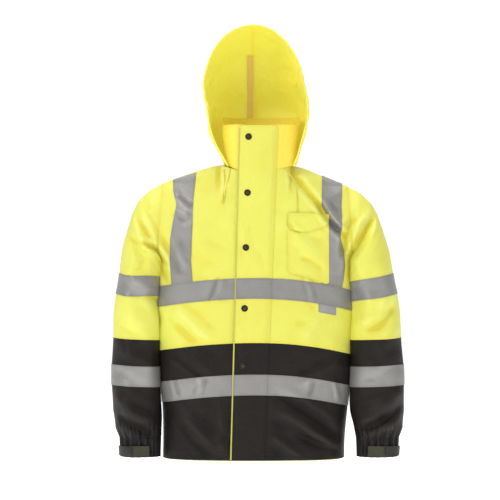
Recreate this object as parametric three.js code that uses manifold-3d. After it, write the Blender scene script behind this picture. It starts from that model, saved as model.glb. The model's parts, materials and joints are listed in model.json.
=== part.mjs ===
// A hooded two-colour rain jacket with reflective tapes, worn open-bodied as on a dress form.
// Millimetres. +X is the wearer's left, -Y the front, +Z up. Heights are measured from the hem,
// and the whole jacket is then moved so that the hang loop inside the back neck is the origin.
import * as THREE from "three";
import Module from "manifold-3d";
import { mergeVertices } from "three/addons/utils/BufferGeometryUtils.js";

const wasm = await Module();
wasm.setup();

// Body outline, from the hem up to the shoulder
const hemHalfWidth = 224;
const chestHalfWidth = 246;
const fullWidthHeight = 310;
const armpitHeight = 462;
const shoulderTipX = 232;
const shoulderTipHeight = 688;
const shoulderNeckHeight = 734;
const shoulderBow = 1.25;
const shoulderRound = 110;
const sectionPower = 2.6;

// Front and back profiles: the front is a straight line leaning back, so the zip and flap stay straight
const hemFrontDepth = 122;
const frontLean = 0.053;
const hemBackDepth = 110;
const bladeHeight = 540;
const bladeBackDepth = 118;
const neckBackDepth = 86;

// Neckline and collar
const neckHalfWidth = 88;
const neckFrontHeight = 715;
const neckBackHeight = 745;
const neckFrontPower = 4;
const neckBackPower = 2.4;
const collarHeight = 116;
const collarBackHeight = 109;
const collarFlare = 15;
const collarBackFlare = 12;
const collarSeat = 0.7;

// Cloth thicknesses and running gaps
const wall = 1.8;
const tapeThick = 0.6;
const seamGap = 0.4;
const runGap = 0.3;
const layGap = 0.5;

// Reflective tapes and colour change, as heights at the centre front
const tapeWidth = 51;
const tapeMidHeight = 23;
const chestTapeBottom = 400;
const colourSeam = 291;
const waistTapeBottom = 162;
const sideDrop = 22;
const fullDropHeight = 160;
const dropFadeStart = 451;
const dropFadeLength = 200;
const braceInnerX = 161;
const braceOuterX = 211;

// Armhole and sleeve
const armholeHalfDepth = 72;
const armholeBlend = 90;
const sleeveSegments = 24;

// Front closure: the zip line and the storm flap sewn beside it
const zipHemX = -8;
const zipSlope = 0.024;
const zipSlotHalf = 6;
const zipBottom = 8;
const zipTop = 822;
const zipTapeHalf = 17;
const zipTapeThick = 0.8;
const zipTapeGap = 0.5;
const chainHalf = 3;
const chainSplitHalf = 0.8;
const chainThick = 2.4;
const sewnHemX = 24;
const sewnSlope = 0.041;
const freeEdgeHemX = -60;
const freeEdgeSlope = 0.0265;
const flapBottom = 2;
const flapTop = 831;
const flapWall = 1.6;
const flapLift = 5;
const flapRootLift = 0.4;
const flapRootShare = 0.167;
const facingWidth = 12;
const facingProud = 2.5;
const facingThick = 0.8;
const hemFacingHeight = 22;
const hemFacingShow = 2;

// Press fasteners
const snapHemX = -36;
const snapSlope = 0.0253;
const snapTopHeight = 804;
const snapPitch = 143.25;
const snapCount = 5;
const snapCapRadius = 7.5;
const snapCapThick = 2;
const snapPostRadius = 2;
const snapHoleClearance = 0.3;
const snapSocketRadius = 5.5;
const snapSocketBottom = 1.5;
const snapRecessRadius = 3;
const snapRecessTop = 3.9;
const snapFlangeRadius = 6;
const snapFlangeThick = 0.8;
const snapHeadRadius = 2.6;
const snapHeadTop = 3.4;
const snapSegments = 10;

// Chest pocket and label patch on the wearer's left
const pocketInnerX = 80;
const pocketOuterX = 183;
const pocketBottom = 459;
const pocketTop = 606;
const pocketLift = 2.3;
const pocketThick = 1.4;
const pocketFlapTop = 613;
const pocketFlapDrop = 46;
const labelInnerX = 156;
const labelOuterX = 202;
const labelDrop = 23;

// Cuff strap
const strapRootAngle = 15;
const strapTipAngle = 75;
const patchStartAngle = 60;
const patchEndAngle = 120;
const strapBottom = 8;
const strapTop = 33;
const strapThick = 1.4;

// Hood
const hoodWall = 1.6;
const hoodFrontAngle = 47;
const hoodSideAngle = 110;
const hoodWidestHalf = 127;
const hoodWidestAt = 0.48;
const hoodBackNarrowing = 0.3;
const hoodStandOff = 2.1;
const hoodFrontStandOff = 3.6;
const casingReach = 1 / 12;
const casingThick = 1.2;
const seamTapeHalf = 7.5;
const seamTapeThick = 0.8;
const hoodCrown = [[-95, 1079], [-5, 1068], [82, 1005], [126, 880], [88, 745]];

// Hang loop, inside the back neck
const loopHalf = 30;
const loopDrop = 24;
const loopTapeWidth = 8;
const loopThick = 1.5;
const loopTop = 740;
const loopGap = 1.3;

// Drawcords: routes chosen by hand, hanging from the hood's lower front corners
const cordRadius = 1.25;
const cordSides = 8;
const cordSteps = 14;
const rightCordRoute = [
  [-78, -75, 722], [-77, -76.8, 713], [-75.7, -79.2, 700], [-76.5, -82, 680], [-79.3, -85.2, 655], [-81, -87, 640],
];
const leftCordRoute = [
  [78, -76, 722], [86, -75, 710], [95, -73, 697], [101.5, -75, 680], [104.5, -80.4, 655], [105.2, -86.6, 622],
];

// Colours
const lime = new THREE.Color(0.87, 0.87, 0.2);
const black = new THREE.Color(0.035, 0.033, 0.032);
const silver = new THREE.Color(0.35, 0.34, 0.33);
const dull = { roughness: 0.7, metalness: 0 };

const jacket = new THREE.Group();

function addMesh(name, geometry, color, finish = dull) {
  geometry.computeVertexNormals();
  const mesh = new THREE.Mesh(geometry, new THREE.MeshStandardMaterial({ color, ...finish }));
  mesh.name = name;
  jacket.add(mesh);
  return mesh;
}

const clamp01 = (t) => Math.min(1, Math.max(0, t));
const smooth = (t) => clamp01(t) ** 2 * (3 - 2 * clamp01(t));
const lerp = (a, b, t) => a + (b - a) * t;
const radians = (degrees) => (degrees * Math.PI) / 180;
const roundedShare = (x, power) => Math.max(0, 1 - Math.abs(x) ** power);

// Body surface

function halfWidth(z) {
  if (z < armpitHeight) return lerp(hemHalfWidth, chestHalfWidth, smooth(z / fullWidthHeight));
  return lerp(chestHalfWidth, shoulderTipX, clamp01((z - armpitHeight) / (shoulderTipHeight - armpitHeight)));
}

function armholeDepth(z) {
  return armholeHalfDepth * Math.sin(Math.PI * clamp01((z - armpitHeight) / (shoulderTipHeight - armpitHeight)));
}

const frontDepth = (z) => hemFrontDepth - frontLean * z;

function backDepth(z) {
  if (z < bladeHeight) return lerp(hemBackDepth, bladeBackDepth, z / bladeHeight);
  return lerp(bladeBackDepth, neckBackDepth, ((z - bladeHeight) / (neckBackHeight - bladeHeight)) ** 2);
}

function topHeight(face, x) {
  const across = Math.abs(x) / neckHalfWidth;
  const centre = face === "front" ? neckFrontHeight : neckBackHeight;
  if (across < 1) return lerp(centre, shoulderNeckHeight, across ** 2);
  const out = (Math.abs(x) - neckHalfWidth) / (shoulderTipX - neckHalfWidth);
  return shoulderNeckHeight - (shoulderNeckHeight - shoulderTipHeight) * out ** shoulderBow;
}

function neckShape(face, x) {
  const power = face === "front" ? neckFrontPower : neckBackPower;
  return roundedShare(x / neckHalfWidth, power) ** (1 / power);
}

function bodyDepth(face, x, z) {
  const across = Math.min(1, Math.abs(x) / halfWidth(z));
  const full = face === "front" ? frontDepth(z) : backDepth(z);
  const edge = armholeDepth(z);
  const closing = lerp(sectionPower, 1, smooth((z - armpitHeight) / armholeBlend));
  const open = edge + (full - edge) * roundedShare(across, sectionPower) ** (1 / closing);
  const round = Math.max(1, shoulderRound * (1 - across ** 3));
  const rise = clamp01((z - topHeight(face, x) + round) / round);
  const top = full * neckShape(face, x);
  return top + (open - top) * Math.sqrt(1 - rise ** 2);
}

function bodyPoint(face, x, z) {
  const depth = Math.max(seamGap / 2, bodyDepth(face, x, z));
  return new THREE.Vector3(x, face === "front" ? -depth : depth, z);
}

// A point on the body with its outward direction, {point, normal}
function skin(face, x, z) {
  const side = x < 0 ? -1 : 1;
  const turn = Math.asin(Math.min(1, Math.abs(x) / halfWidth(z)) ** (sectionPower / 2));
  const acrossAt = (angle) => Math.sin(angle) ** (2 / sectionPower);
  const step = radians(4);
  const near = acrossAt(Math.max(0, turn - step)) * halfWidth(z);
  const far = acrossAt(Math.min(Math.PI / 2, turn + step)) * halfWidth(z);
  const alongX = bodyPoint(face, side * far, z).sub(bodyPoint(face, side * near, z));
  const share = Math.min(1, Math.abs(x) / halfWidth(z));
  const above = Math.min(z + 20, topHeight(face, x));
  const below = Math.max(z - 20, 0);
  const high = bodyPoint(face, side * share * halfWidth(above), above);
  const low = bodyPoint(face, side * share * halfWidth(below), below);
  const normal = alongX.cross(high.sub(low)).multiplyScalar(side * (face === "front" ? 1 : -1));
  const point = bodyPoint(face, x, z);
  if (Math.abs(point.y) < 1) normal.y = 0;
  return { point, normal: normal.normalize() };
}

const liftOff = (spot, lift) => spot.point.clone().addScaledVector(spot.normal, lift);

// How far below its centre-front height a seam or tape runs at a share of the width
function archDrop(height, share) {
  const fade = 1 - smooth((height - dropFadeStart) / dropFadeLength);
  return sideDrop * share ** 2 * Math.min(1, height / fullDropHeight) * fade;
}

function archedHeight(height, x) {
  return height - archDrop(height, Math.abs(x) / halfWidth(Math.min(height, armpitHeight)));
}

const zipX = (z) => zipHemX + zipSlope * z;
const sewnX = (z) => sewnHemX + sewnSlope * z;
const freeEdgeX = (z) => freeEdgeHemX + freeEdgeSlope * z;
const snapX = (z) => snapHemX + snapSlope * z;

// Closed solids from two grids of points

function closedShell(outer, inner, wrap = false) {
  const rows = outer.length;
  const columns = outer[0].length;
  const positions = [];
  for (const grid of [outer, inner]) {
    for (const row of grid) for (const p of row) positions.push(p.x, p.y, p.z);
  }
  const at = (layer, r, c) => layer * rows * columns + r * columns + (c % columns);
  const faces = [];
  const corner = (i) => new THREE.Vector3().fromArray(positions, 3 * i);
  const quad = (a, b, c, d) => {
    const acrossFirst = corner(a).distanceTo(corner(c)) <= corner(b).distanceTo(corner(d));
    faces.push(...(acrossFirst ? [a, b, c, a, c, d] : [a, b, d, b, c, d]));
  };
  const lastColumn = wrap ? columns : columns - 1;
  for (let r = 0; r < rows - 1; r++) {
    for (let c = 0; c < lastColumn; c++) {
      quad(at(0, r, c), at(0, r, c + 1), at(0, r + 1, c + 1), at(0, r + 1, c));
      quad(at(1, r, c), at(1, r + 1, c), at(1, r + 1, c + 1), at(1, r, c + 1));
    }
  }
  for (let c = 0; c < lastColumn; c++) {
    quad(at(0, 0, c), at(1, 0, c), at(1, 0, c + 1), at(0, 0, c + 1));
    quad(at(0, rows - 1, c), at(0, rows - 1, c + 1), at(1, rows - 1, c + 1), at(1, rows - 1, c));
  }
  if (!wrap) {
    for (let r = 0; r < rows - 1; r++) {
      quad(at(0, r, 0), at(0, r + 1, 0), at(1, r + 1, 0), at(1, r, 0));
      quad(at(0, r, columns - 1), at(1, r, columns - 1), at(1, r + 1, columns - 1), at(0, r + 1, columns - 1));
    }
  }
  const geometry = new THREE.BufferGeometry();
  geometry.setAttribute("position", new THREE.Float32BufferAttribute(positions, 3));
  geometry.setIndex(faces);
  return faceOutward(geometry);
}

function faceOutward(geometry) {
  const index = geometry.index.array;
  const a = new THREE.Vector3();
  const b = new THREE.Vector3();
  const c = new THREE.Vector3();
  const position = geometry.attributes.position;
  let volume = 0;
  for (let i = 0; i < index.length; i += 3) {
    a.fromBufferAttribute(position, index[i]);
    b.fromBufferAttribute(position, index[i + 1]);
    c.fromBufferAttribute(position, index[i + 2]);
    volume += a.dot(b.cross(c));
  }
  if (volume < 0) {
    for (let i = 0; i < index.length; i += 3) [index[i], index[i + 1]] = [index[i + 1], index[i]];
  }
  return geometry;
}

// A shell on a grid of {point, normal} spots, between two lifts: numbers, or functions of the row and column
function layer(spots, low, high, wrap = false) {
  const liftAt = (lift, r, c) => (typeof lift === "function" ? lift(r, c) : lift);
  const grid = (lift) => spots.map((row, r) => row.map((spot, c) => liftOff(spot, liftAt(lift, r, c))));
  return closedShell(grid(high), grid(low), wrap);
}

// Gives each point of a plain grid the direction across its neighbours, on the side that faces away from centre
function withNormals(points, centre) {
  const lastRow = points.length - 1;
  return points.map((row, r) =>
    row.map((point, c) => {
      const up = points[Math.min(r + 1, lastRow)][c].clone().sub(points[Math.max(r - 1, 0)][c]);
      const along = row[Math.min(c + 1, row.length - 1)].clone().sub(row[Math.max(c - 1, 0)]);
      const normal = along.cross(up).normalize();
      if (normal.dot(point.clone().sub(centre)) < 0) normal.negate();
      return { point, normal };
    }),
  );
}

// Shares of the half width at which every panel and tape has a column, so that they lie on one another
const neckShares = [0.1, 0.19, 0.28, 0.345, 0.37, neckHalfWidth / shoulderTipX];
const shares = [...neckShares, 0.47, 0.57, 0.66, 0.74, 0.81, 0.87, 0.92, 0.965, 0.993];

const sharesBetween = (from, to) => [from, ...shares.filter((s) => s > from + 0.012 && s < to - 0.003), to];

// Distances from the centre, at one height, of a front panel's columns: its zip edge and every share after it
const frontColumns = (edge, z) => [edge, ...[...shares, 1].map((share) => share * halfWidth(z))];
const zipEdge = (side, z, half = zipSlotHalf) => side * zipX(z) + half;

// Height of a grid row as a share of the way from the colour seam to the top edge
const upperRows = [0, 0.13, 0.257, 0.317, 0.377, 0.4606, 0.54, 0.64, 0.74, 0.84, 0.92, 0.975, 1];
const lowerRows = [
  0, 80, waistTapeBottom, waistTapeBottom + tapeMidHeight, waistTapeBottom + tapeWidth, colourSeam - seamGap / 2,
];

function upperHeight(face, seamX, topX, row) {
  return lerp(archedHeight(colourSeam, seamX) + seamGap / 2, topHeight(face, topX), row);
}

function upperFrontSpots(side) {
  const seamColumns = frontColumns(zipEdge(side, colourSeam), colourSeam);
  const topColumns = frontColumns(zipEdge(side, neckFrontHeight), neckFrontHeight);
  return upperRows.map((row) =>
    topColumns.map((topX, c) => {
      const z = upperHeight("front", seamColumns[c], topX, row);
      return skin("front", side * frontColumns(zipEdge(side, z), z)[c], z);
    }),
  );
}

function lowerFrontSpots(side, heights, half = zipSlotHalf) {
  return heights.map((height) =>
    frontColumns(zipEdge(side, height, half), height).map((x) =>
      skin("front", side * x, archedHeight(height, x)),
    ),
  );
}

const backShares = [...[1, ...[...shares].reverse()].map((s) => -s), 0, ...shares, 1];

function upperBackSpots() {
  return upperRows.map((row) =>
    backShares.map((share) => {
      const z = upperHeight("back", share * halfWidth(colourSeam), share * shoulderTipX, row);
      return skin("back", share * halfWidth(z), z);
    }),
  );
}

function lowerBackSpots(heights) {
  return heights.map((height) =>
    backShares.map((share) => {
      const x = share * halfWidth(height);
      return skin("back", x, archedHeight(height, x));
    }),
  );
}

// Holes for fasteners

function toSolid(geometry) {
  const plain = geometry.clone();
  plain.deleteAttribute("normal");
  plain.deleteAttribute("uv");
  const merged = mergeVertices(plain, 1e-4);
  return new wasm.Manifold(
    new wasm.Mesh({
      numProp: 3,
      vertProperties: Float32Array.from(merged.attributes.position.array),
      triVerts: Uint32Array.from(merged.index.array),
    }),
  );
}

function drill(geometry, holes) {
  let solid = toSolid(geometry);
  for (const hole of holes) solid = solid.subtract(toSolid(hole));
  const mesh = solid.getMesh();
  const result = new THREE.BufferGeometry();
  result.setAttribute("position", new THREE.Float32BufferAttribute(mesh.vertProperties, 3));
  result.setIndex(Array.from(mesh.triVerts));
  return result;
}

// A solid of revolution whose profile is [radius, lift] pairs, standing on a spot along its normal
function turned(profile, segments = snapSegments) {
  const geometry = new THREE.LatheGeometry(profile.map(([r, h]) => new THREE.Vector2(r, h)), segments);
  return geometry.rotateX(Math.PI / 2);
}

function standOn(object, spot) {
  object.position.copy(spot.point);
  object.quaternion.setFromUnitVectors(new THREE.Vector3(0, 0, 1), spot.normal);
  object.updateMatrix();
  return object;
}

function snapHole(spot) {
  const radius = snapPostRadius + snapHoleClearance;
  const bore = new THREE.CylinderGeometry(radius, radius, 30, snapSegments).rotateX(Math.PI / 2);
  const peg = standOn(new THREE.Object3D(), spot);
  return bore.applyMatrix4(peg.matrix);
}

// The collar surface, used by the collar itself and by the part of the flap that lies on it

function collarSpotAt(x, z) {
  const rise = clamp01((z - topHeight("front", x)) / collarHeight);
  const reach = neckHalfWidth + collarFlare * rise;
  const depth = frontDepth(z) * roundedShare(x / reach, neckFrontPower) ** (1 / neckFrontPower);
  return new THREE.Vector3(x, -depth, z);
}

function closureSpot(x, z) {
  if (z < topHeight("front", x) - 2) return skin("front", x, z);
  const along = collarSpotAt(x + 4, z).sub(collarSpotAt(x - 4, z));
  const up = new THREE.Vector3(0, frontLean, 1);
  return { point: collarSpotAt(x, z), normal: along.cross(up).normalize() };
}

const snapHeights = Array.from({ length: snapCount }, (_, i) => snapTopHeight - i * snapPitch);
const snapSpots = snapHeights.map((z) => closureSpot(snapX(z), z));
const snapHoles = (low, high) => snapSpots.filter((s) => s.point.z > low && s.point.z < high).map(snapHole);

// Body panels

function buildPanels() {
  for (const [hand, side] of [["right", -1], ["left", 1]]) {
    let upper = layer(upperFrontSpots(side), -wall, 0);
    let lower = layer(lowerFrontSpots(side, lowerRows), -wall, 0);
    if (side < 0) {
      upper = drill(upper, snapHoles(colourSeam, neckFrontHeight));
      lower = drill(lower, snapHoles(0, colourSeam));
    }
    addMesh(`front_${hand}_upper`, upper, lime);
    addMesh(`front_${hand}_lower`, lower, black);
  }
  addMesh("back_upper", layer(upperBackSpots(), -wall, 0), lime);
  addMesh("back_lower", layer(lowerBackSpots(lowerRows), -wall, 0), black);
  const facingTop = -(wall + layGap);
  const heights = [0, hemFacingHeight];
  // The facing stops short of the zip tape, so it has no column at the first share
  const facingHalf = zipTapeHalf + 2;
  const facingRow = ([edge, , ...rest]) => [edge, ...rest];
  const [right, left] = [-1, 1].map((side) => lowerFrontSpots(side, heights, facingHalf).map(facingRow));
  const back = lowerBackSpots(heights);
  const around = heights.map((_, r) => [...left[r], ...back[r].reverse().slice(1, -1), ...right[r].reverse()]);
  for (const spot of around[0]) spot.point.z -= hemFacingShow;
  addMesh("hem_facing", layer(around, facingTop - facingThick, facingTop), lime);
}

// Tapes

function buildBodyTapes() {
  const low = layGap;
  const high = layGap + tapeThick;
  const bands = { waist: waistTapeBottom, chest: chestTapeBottom };
  for (const [band, bottom] of Object.entries(bands)) {
    const heights = [bottom, bottom + tapeMidHeight, bottom + tapeWidth];
    addMesh(`${band}_tape_right`, layer(lowerFrontSpots(-1, heights), low, high), silver);
    const innerAt = (z) => sewnX(z) + 1;
    const spots = heights.map((height) =>
      sharesBetween(innerAt(height) / halfWidth(height), 1).map((share) => {
        const x = share * halfWidth(height);
        return skin("front", x, archedHeight(height, x));
      }),
    );
    addMesh(`${band}_tape_left`, layer(spots, low, high), silver);
    addMesh(`${band}_tape_back`, layer(lowerBackSpots(heights), low, high), silver);
  }
}

// One strip that starts on the chest tape, runs over the shoulder and ends on the chest tape at the back
function buildBraceTapes() {
  const start = chestTapeBottom + tapeWidth + seamGap;
  const shareList = sharesBetween(braceInnerX / shoulderTipX, braceOuterX / shoulderTipX);
  for (const [hand, side] of [["right", -1], ["left", 1]]) {
    const half = (face) =>
      upperRows.filter((row) => row > 0.42).map((row) =>
        shareList.map((share) => {
          const z = upperHeight(face, share * halfWidth(colourSeam), share * shoulderTipX, row);
          return skin(face, side * share * halfWidth(z), z);
        }),
      );
    const foot = (face) =>
      shareList.map((share) => {
        const x = share * chestHalfWidth;
        return skin(face, side * x, archedHeight(start, x));
      });
    const ridge = half("front").pop();
    for (const spot of ridge) spot.point.y = 0;
    const front = [foot("front"), ...half("front").slice(0, -1)];
    const back = [foot("back"), ...half("back").slice(0, -1)].reverse();
    addMesh(`brace_tape_${hand}`, layer([...front, ridge, ...back], layGap, layGap + tapeThick), silver);
  }
}

// Sleeves: each ring has its outer and inner points in the XZ plane, its half depth and its shift to the front
const sleeveRings = [
  {
    outer: [shoulderTipX, shoulderTipHeight],
    inner: [chestHalfWidth, armpitHeight],
    depth: armholeHalfDepth,
    y: 0,
    lens: 1,
  },
  { outer: [262, 671], inner: [247.4, 458], depth: 74, y: 0, lens: 0.6 },
  { outer: [290, 645], inner: [248, 454.5], depth: 77, y: 0, lens: 0.3 },
  { outer: [309, 613], inner: [248.6, 451.5], depth: 80, y: 0 },
  { outer: [321, 577], inner: [249.2, 448.5], depth: 82, y: 0 },
  { outer: [332, 525], inner: [249.7, 445], depth: 84, y: 0 },
  { outer: [341, 463], inner: [250, 441], depth: 84, y: 0 },
  { outer: [350, 412], inner: [250, 391], depth: 82, y: -1 },
  { outer: [355, 360], inner: [250, 344], depth: 81, y: -4 },
  { outer: [359, 302], inner: [250, 296], depth: 80, y: -9 },
  { outer: [363, 236], inner: [250, 230], depth: 78, y: -15 },
  { outer: [365, 185], inner: [250, 179], depth: 75, y: -19 },
  { outer: [366, 120], inner: [251, 118], depth: 70, y: -23 },
  { outer: [361, 76], inner: [254, 76], depth: 62, y: -26 },
  { outer: [349, 53], inner: [257, 53], depth: 54, y: -27 },
  { outer: [345, 5], inner: [257, 5], depth: 48, y: -28 },
];
const upperTapeRings = [6, 7];
const sleeveSeamRing = 9;
const lowerTapeRings = [10, 11];
const cuffRing = 14;

// A spot on a sleeve ring; the angle starts at its outer point and turns to the front
function ringSpot(side, ring, angle, shiftX = 0, shiftZ = 0) {
  const outer = new THREE.Vector3(side * (ring.outer[0] + shiftX), ring.y, ring.outer[1] + shiftZ);
  const inner = new THREE.Vector3(side * (ring.inner[0] + shiftX), ring.y, ring.inner[1] + shiftZ);
  const across = outer.clone().sub(inner).multiplyScalar(0.5);
  const reach = across.length();
  const point = outer.add(inner).multiplyScalar(0.5);
  const oval = Math.sin(angle);
  const lens = Math.sign(oval) * Math.sin((Math.PI * (1 + Math.cos(angle))) / 2);
  const bulge = ring.depth * lerp(oval, lens, ring.lens ?? 0);
  point.addScaledVector(across, Math.cos(angle)).add(new THREE.Vector3(0, -bulge, 0));
  const normal = across.multiplyScalar(Math.cos(angle) / reach ** 2);
  normal.add(new THREE.Vector3(0, -Math.sin(angle) / ring.depth, 0));
  return { point, normal: normal.normalize() };
}

function ringRow(side, index, shiftX = 0, shiftZ = 0) {
  const angles = Array.from({ length: sleeveSegments }, (_, i) => (i * 2 * Math.PI) / sleeveSegments);
  return angles.map((angle) => ringSpot(side, sleeveRings[index], angle, shiftX, shiftZ));
}

function ringRows(side, from, to) {
  return Array.from({ length: to - from + 1 }, (_, i) => ringRow(side, from + i));
}

function mixRings(a, b, t) {
  const mixPair = (p, q) => [lerp(p[0], q[0], t), lerp(p[1], q[1], t)];
  return {
    outer: mixPair(a.outer, b.outer),
    inner: mixPair(a.inner, b.inner),
    depth: lerp(a.depth, b.depth, t),
    y: lerp(a.y, b.y, t),
  };
}

// Part of the cuff between two angles, at a height above the hem
function cuffSpots(side, fromDegrees, toDegrees, low, high) {
  const top = sleeveRings[cuffRing];
  const bottom = sleeveRings[cuffRing + 1];
  const segment = 360 / sleeveSegments;
  const inner = Array.from({ length: sleeveSegments }, (_, i) => i * segment);
  const angles = [fromDegrees, ...inner.filter((a) => a > fromDegrees + 2 && a < toDegrees - 2), toDegrees];
  return [low, high].map((z) => {
    const ring = mixRings(bottom, top, (z - bottom.outer[1]) / (top.outer[1] - bottom.outer[1]));
    return angles.map((degrees) => ringSpot(side, ring, radians(degrees)));
  });
}

function buildSleeves() {
  for (const [hand, side] of [["right", -1], ["left", 1]]) {
    const upper = [ringRow(side, 0, seamGap), ...ringRows(side, 1, sleeveSeamRing - 1)];
    upper.push(ringRow(side, sleeveSeamRing, 0, seamGap / 2));
    addMesh(`sleeve_${hand}_upper`, layer(upper, -wall, 0, true), lime);
    const lower = [ringRow(side, sleeveSeamRing, 0, -seamGap / 2)];
    lower.push(...ringRows(side, sleeveSeamRing + 1, cuffRing - 1), ringRow(side, cuffRing, 0, seamGap / 2));
    addMesh(`sleeve_${hand}_lower`, layer(lower, -wall, 0, true), black);
    const tapes = { upper: upperTapeRings, lower: lowerTapeRings };
    for (const [name, [from, to]] of Object.entries(tapes)) {
      const spots = ringRows(side, from, to);
      addMesh(`sleeve_${hand}_tape_${name}`, layer(spots, layGap, layGap + tapeThick, true), silver);
    }
    const cuff = [ringRow(side, cuffRing, 0, -seamGap / 2), ringRow(side, cuffRing + 1)];
    addMesh(`cuff_${hand}`, layer(cuff, -wall, 0, true), black);
    const patch = cuffSpots(side, patchStartAngle, patchEndAngle, strapBottom - 1, strapTop + 1);
    addMesh(`cuff_${hand}_loop_patch`, layer(patch, runGap, runGap + 0.6), black);
    const strap = cuffSpots(side, strapRootAngle, strapTipAngle, strapBottom, strapTop);
    const strapLow = (r, c) => (c === 0 ? runGap : 1.2);
    const strapHigh = (r, c) => strapLow(r, c) + strapThick;
    addMesh(`cuff_${hand}_strap`, layer(strap, strapLow, strapHigh), black);
  }
}

// Collar and hood

const signedPower = (value, power) => Math.sign(value) * Math.abs(value) ** power;

// The neckline loop at an angle that runs from the front round to the back, pushed outward by standOff
function necklinePoint(side, degrees, standOff, rise = 0) {
  const s = Math.sin(radians(degrees));
  const c = Math.cos(radians(degrees));
  const face = c > 0 ? "front" : "back";
  const power = 2 / (c > 0 ? neckFrontPower : neckBackPower);
  const reach = neckHalfWidth + collarFlare * rise + standOff;
  const x = reach * signedPower(s, power);
  const baseX = neckHalfWidth * signedPower(s, power);
  const climb = lerp(collarHeight, collarBackHeight, clamp01(-c)) * rise;
  const z = topHeight(face, baseX) + climb;
  const frontY = frontDepth(z) + standOff;
  const backY = neckBackDepth + collarBackFlare * rise + standOff;
  return new THREE.Vector3(side * x, -(c > 0 ? frontY : backY) * signedPower(c, power), z);
}

function buildCollar() {
  const angleAt = (share, power) => Math.asin(Math.min(1, (share * shoulderTipX) / neckHalfWidth) ** (power / 2));
  const degreesOf = (power) => neckShares.map((share) => (angleAt(share, power) * 180) / Math.PI);
  const frontAngles = degreesOf(neckFrontPower);
  const backAngles = degreesOf(neckBackPower).slice(0, -1).map((angle) => 180 - angle).reverse();
  const centre = new THREE.Vector3(0, 0, neckFrontHeight + collarHeight / 2);
  const rows = [0, 0.5, 1].map((rise) => {
    const edge = (side) => {
      const z = neckFrontHeight + collarHeight * rise;
      const x = zipX(z) + side * zipSlotHalf;
      return collarSpotAt(x, z);
    };
    const half = (side) => [...frontAngles, ...backAngles].map((a) => necklinePoint(side, a, 0, rise));
    const row = [edge(-1), ...half(-1), necklinePoint(1, 180, 0, rise), ...half(1).reverse(), edge(1)];
    for (const point of row) point.z += collarSeat;
    return row;
  });
  const collar = layer(withNormals(rows, centre), -wall, 0);
  addMesh("collar", drill(collar, snapHoles(neckFrontHeight, flapTop)), lime);
}

const crownCurve = new THREE.CatmullRomCurve3(hoodCrown.map(([y, z]) => new THREE.Vector3(0, y, z)));

// One arch of the hood: back runs 0 at the face opening to 1 at the back neckline, down runs 0 at the centre
// seam to 1 at the neck
function hoodPoint(side, back, down) {
  const standOff = hoodStandOff + hoodFrontStandOff * (1 - smooth(back / 0.3));
  const base = necklinePoint(side, lerp(hoodFrontAngle, hoodSideAngle, back), standOff);
  const apex = crownCurve.getPoint(back);
  const height = 1 - down ** 2;
  const widest = hoodWidestHalf * (1 - hoodBackNarrowing * back ** 2.5);
  const baseX = Math.abs(base.x);
  const lowShape = lerp(baseX, widest, 1 - (1 - height / hoodWidestAt) ** 2);
  const highShape = widest * Math.sqrt(roundedShare((height - hoodWidestAt) / (1 - hoodWidestAt), 2.1));
  const x = side * (height < hoodWidestAt ? lowShape : highShape);
  const arch = new THREE.Vector3(x, lerp(base.y, apex.y, height), lerp(base.z, apex.z, height));
  const neck = necklinePoint(side, lerp(180, hoodSideAngle, down), hoodStandOff);
  return arch.lerp(neck, smooth((back - 0.7) / 0.3)).add(new THREE.Vector3(0, 0, seamGap + 0.1));
}

const hoodCentre = new THREE.Vector3(0, 10, 860);
const hoodRows = Array.from({ length: 13 }, (_, i) => i / 12);
const hoodColumns = Array.from({ length: 10 }, (_, i) => i / 9);

function buildHood() {
  for (const [hand, side] of [["right", -1], ["left", 1]]) {
    const points = hoodRows.map((back) => hoodColumns.map((down) => hoodPoint(side, back, down)));
    const spots = withNormals(points, hoodCentre);
    for (const row of spots) {
      row[0].normal.setX(0).normalize();
      row[0].point.x += (side * seamGap) / 2;
    }
    addMesh(`hood_${hand}`, layer(spots, -hoodWall, 0), lime);
  }
  const rightHalf = [...hoodColumns].reverse().map((down) => [-1, down]);
  const arch = [...rightHalf, ...hoodColumns.slice(1).map((down) => [1, down])];
  const rim = [0, casingReach].map((back) => arch.map(([side, down]) => hoodPoint(side, back, down)));
  const casingTop = -(hoodWall + 0.5);
  addMesh("hood_rim_casing", layer(withNormals(rim, hoodCentre), casingTop - casingThick, casingTop), lime);
  const tapeRows = hoodRows.filter((back) => back > 0.48 && back < 0.95);
  const strip = tapeRows.map((back) =>
    [-1, 0, 1].map((side) => {
      const beside = hoodPoint(side, back, hoodColumns[1]);
      return hoodPoint(1, back, 0).lerp(beside, side === 0 ? 0 : seamTapeHalf / Math.abs(beside.x));
    }),
  );
  const tapeTop = -(hoodWall + 0.6);
  addMesh("hood_seam_tape", layer(withNormals(strip, hoodCentre), tapeTop - seamTapeThick, tapeTop),
    new THREE.Color(0.6, 0.42, 0.08));
}

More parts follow.
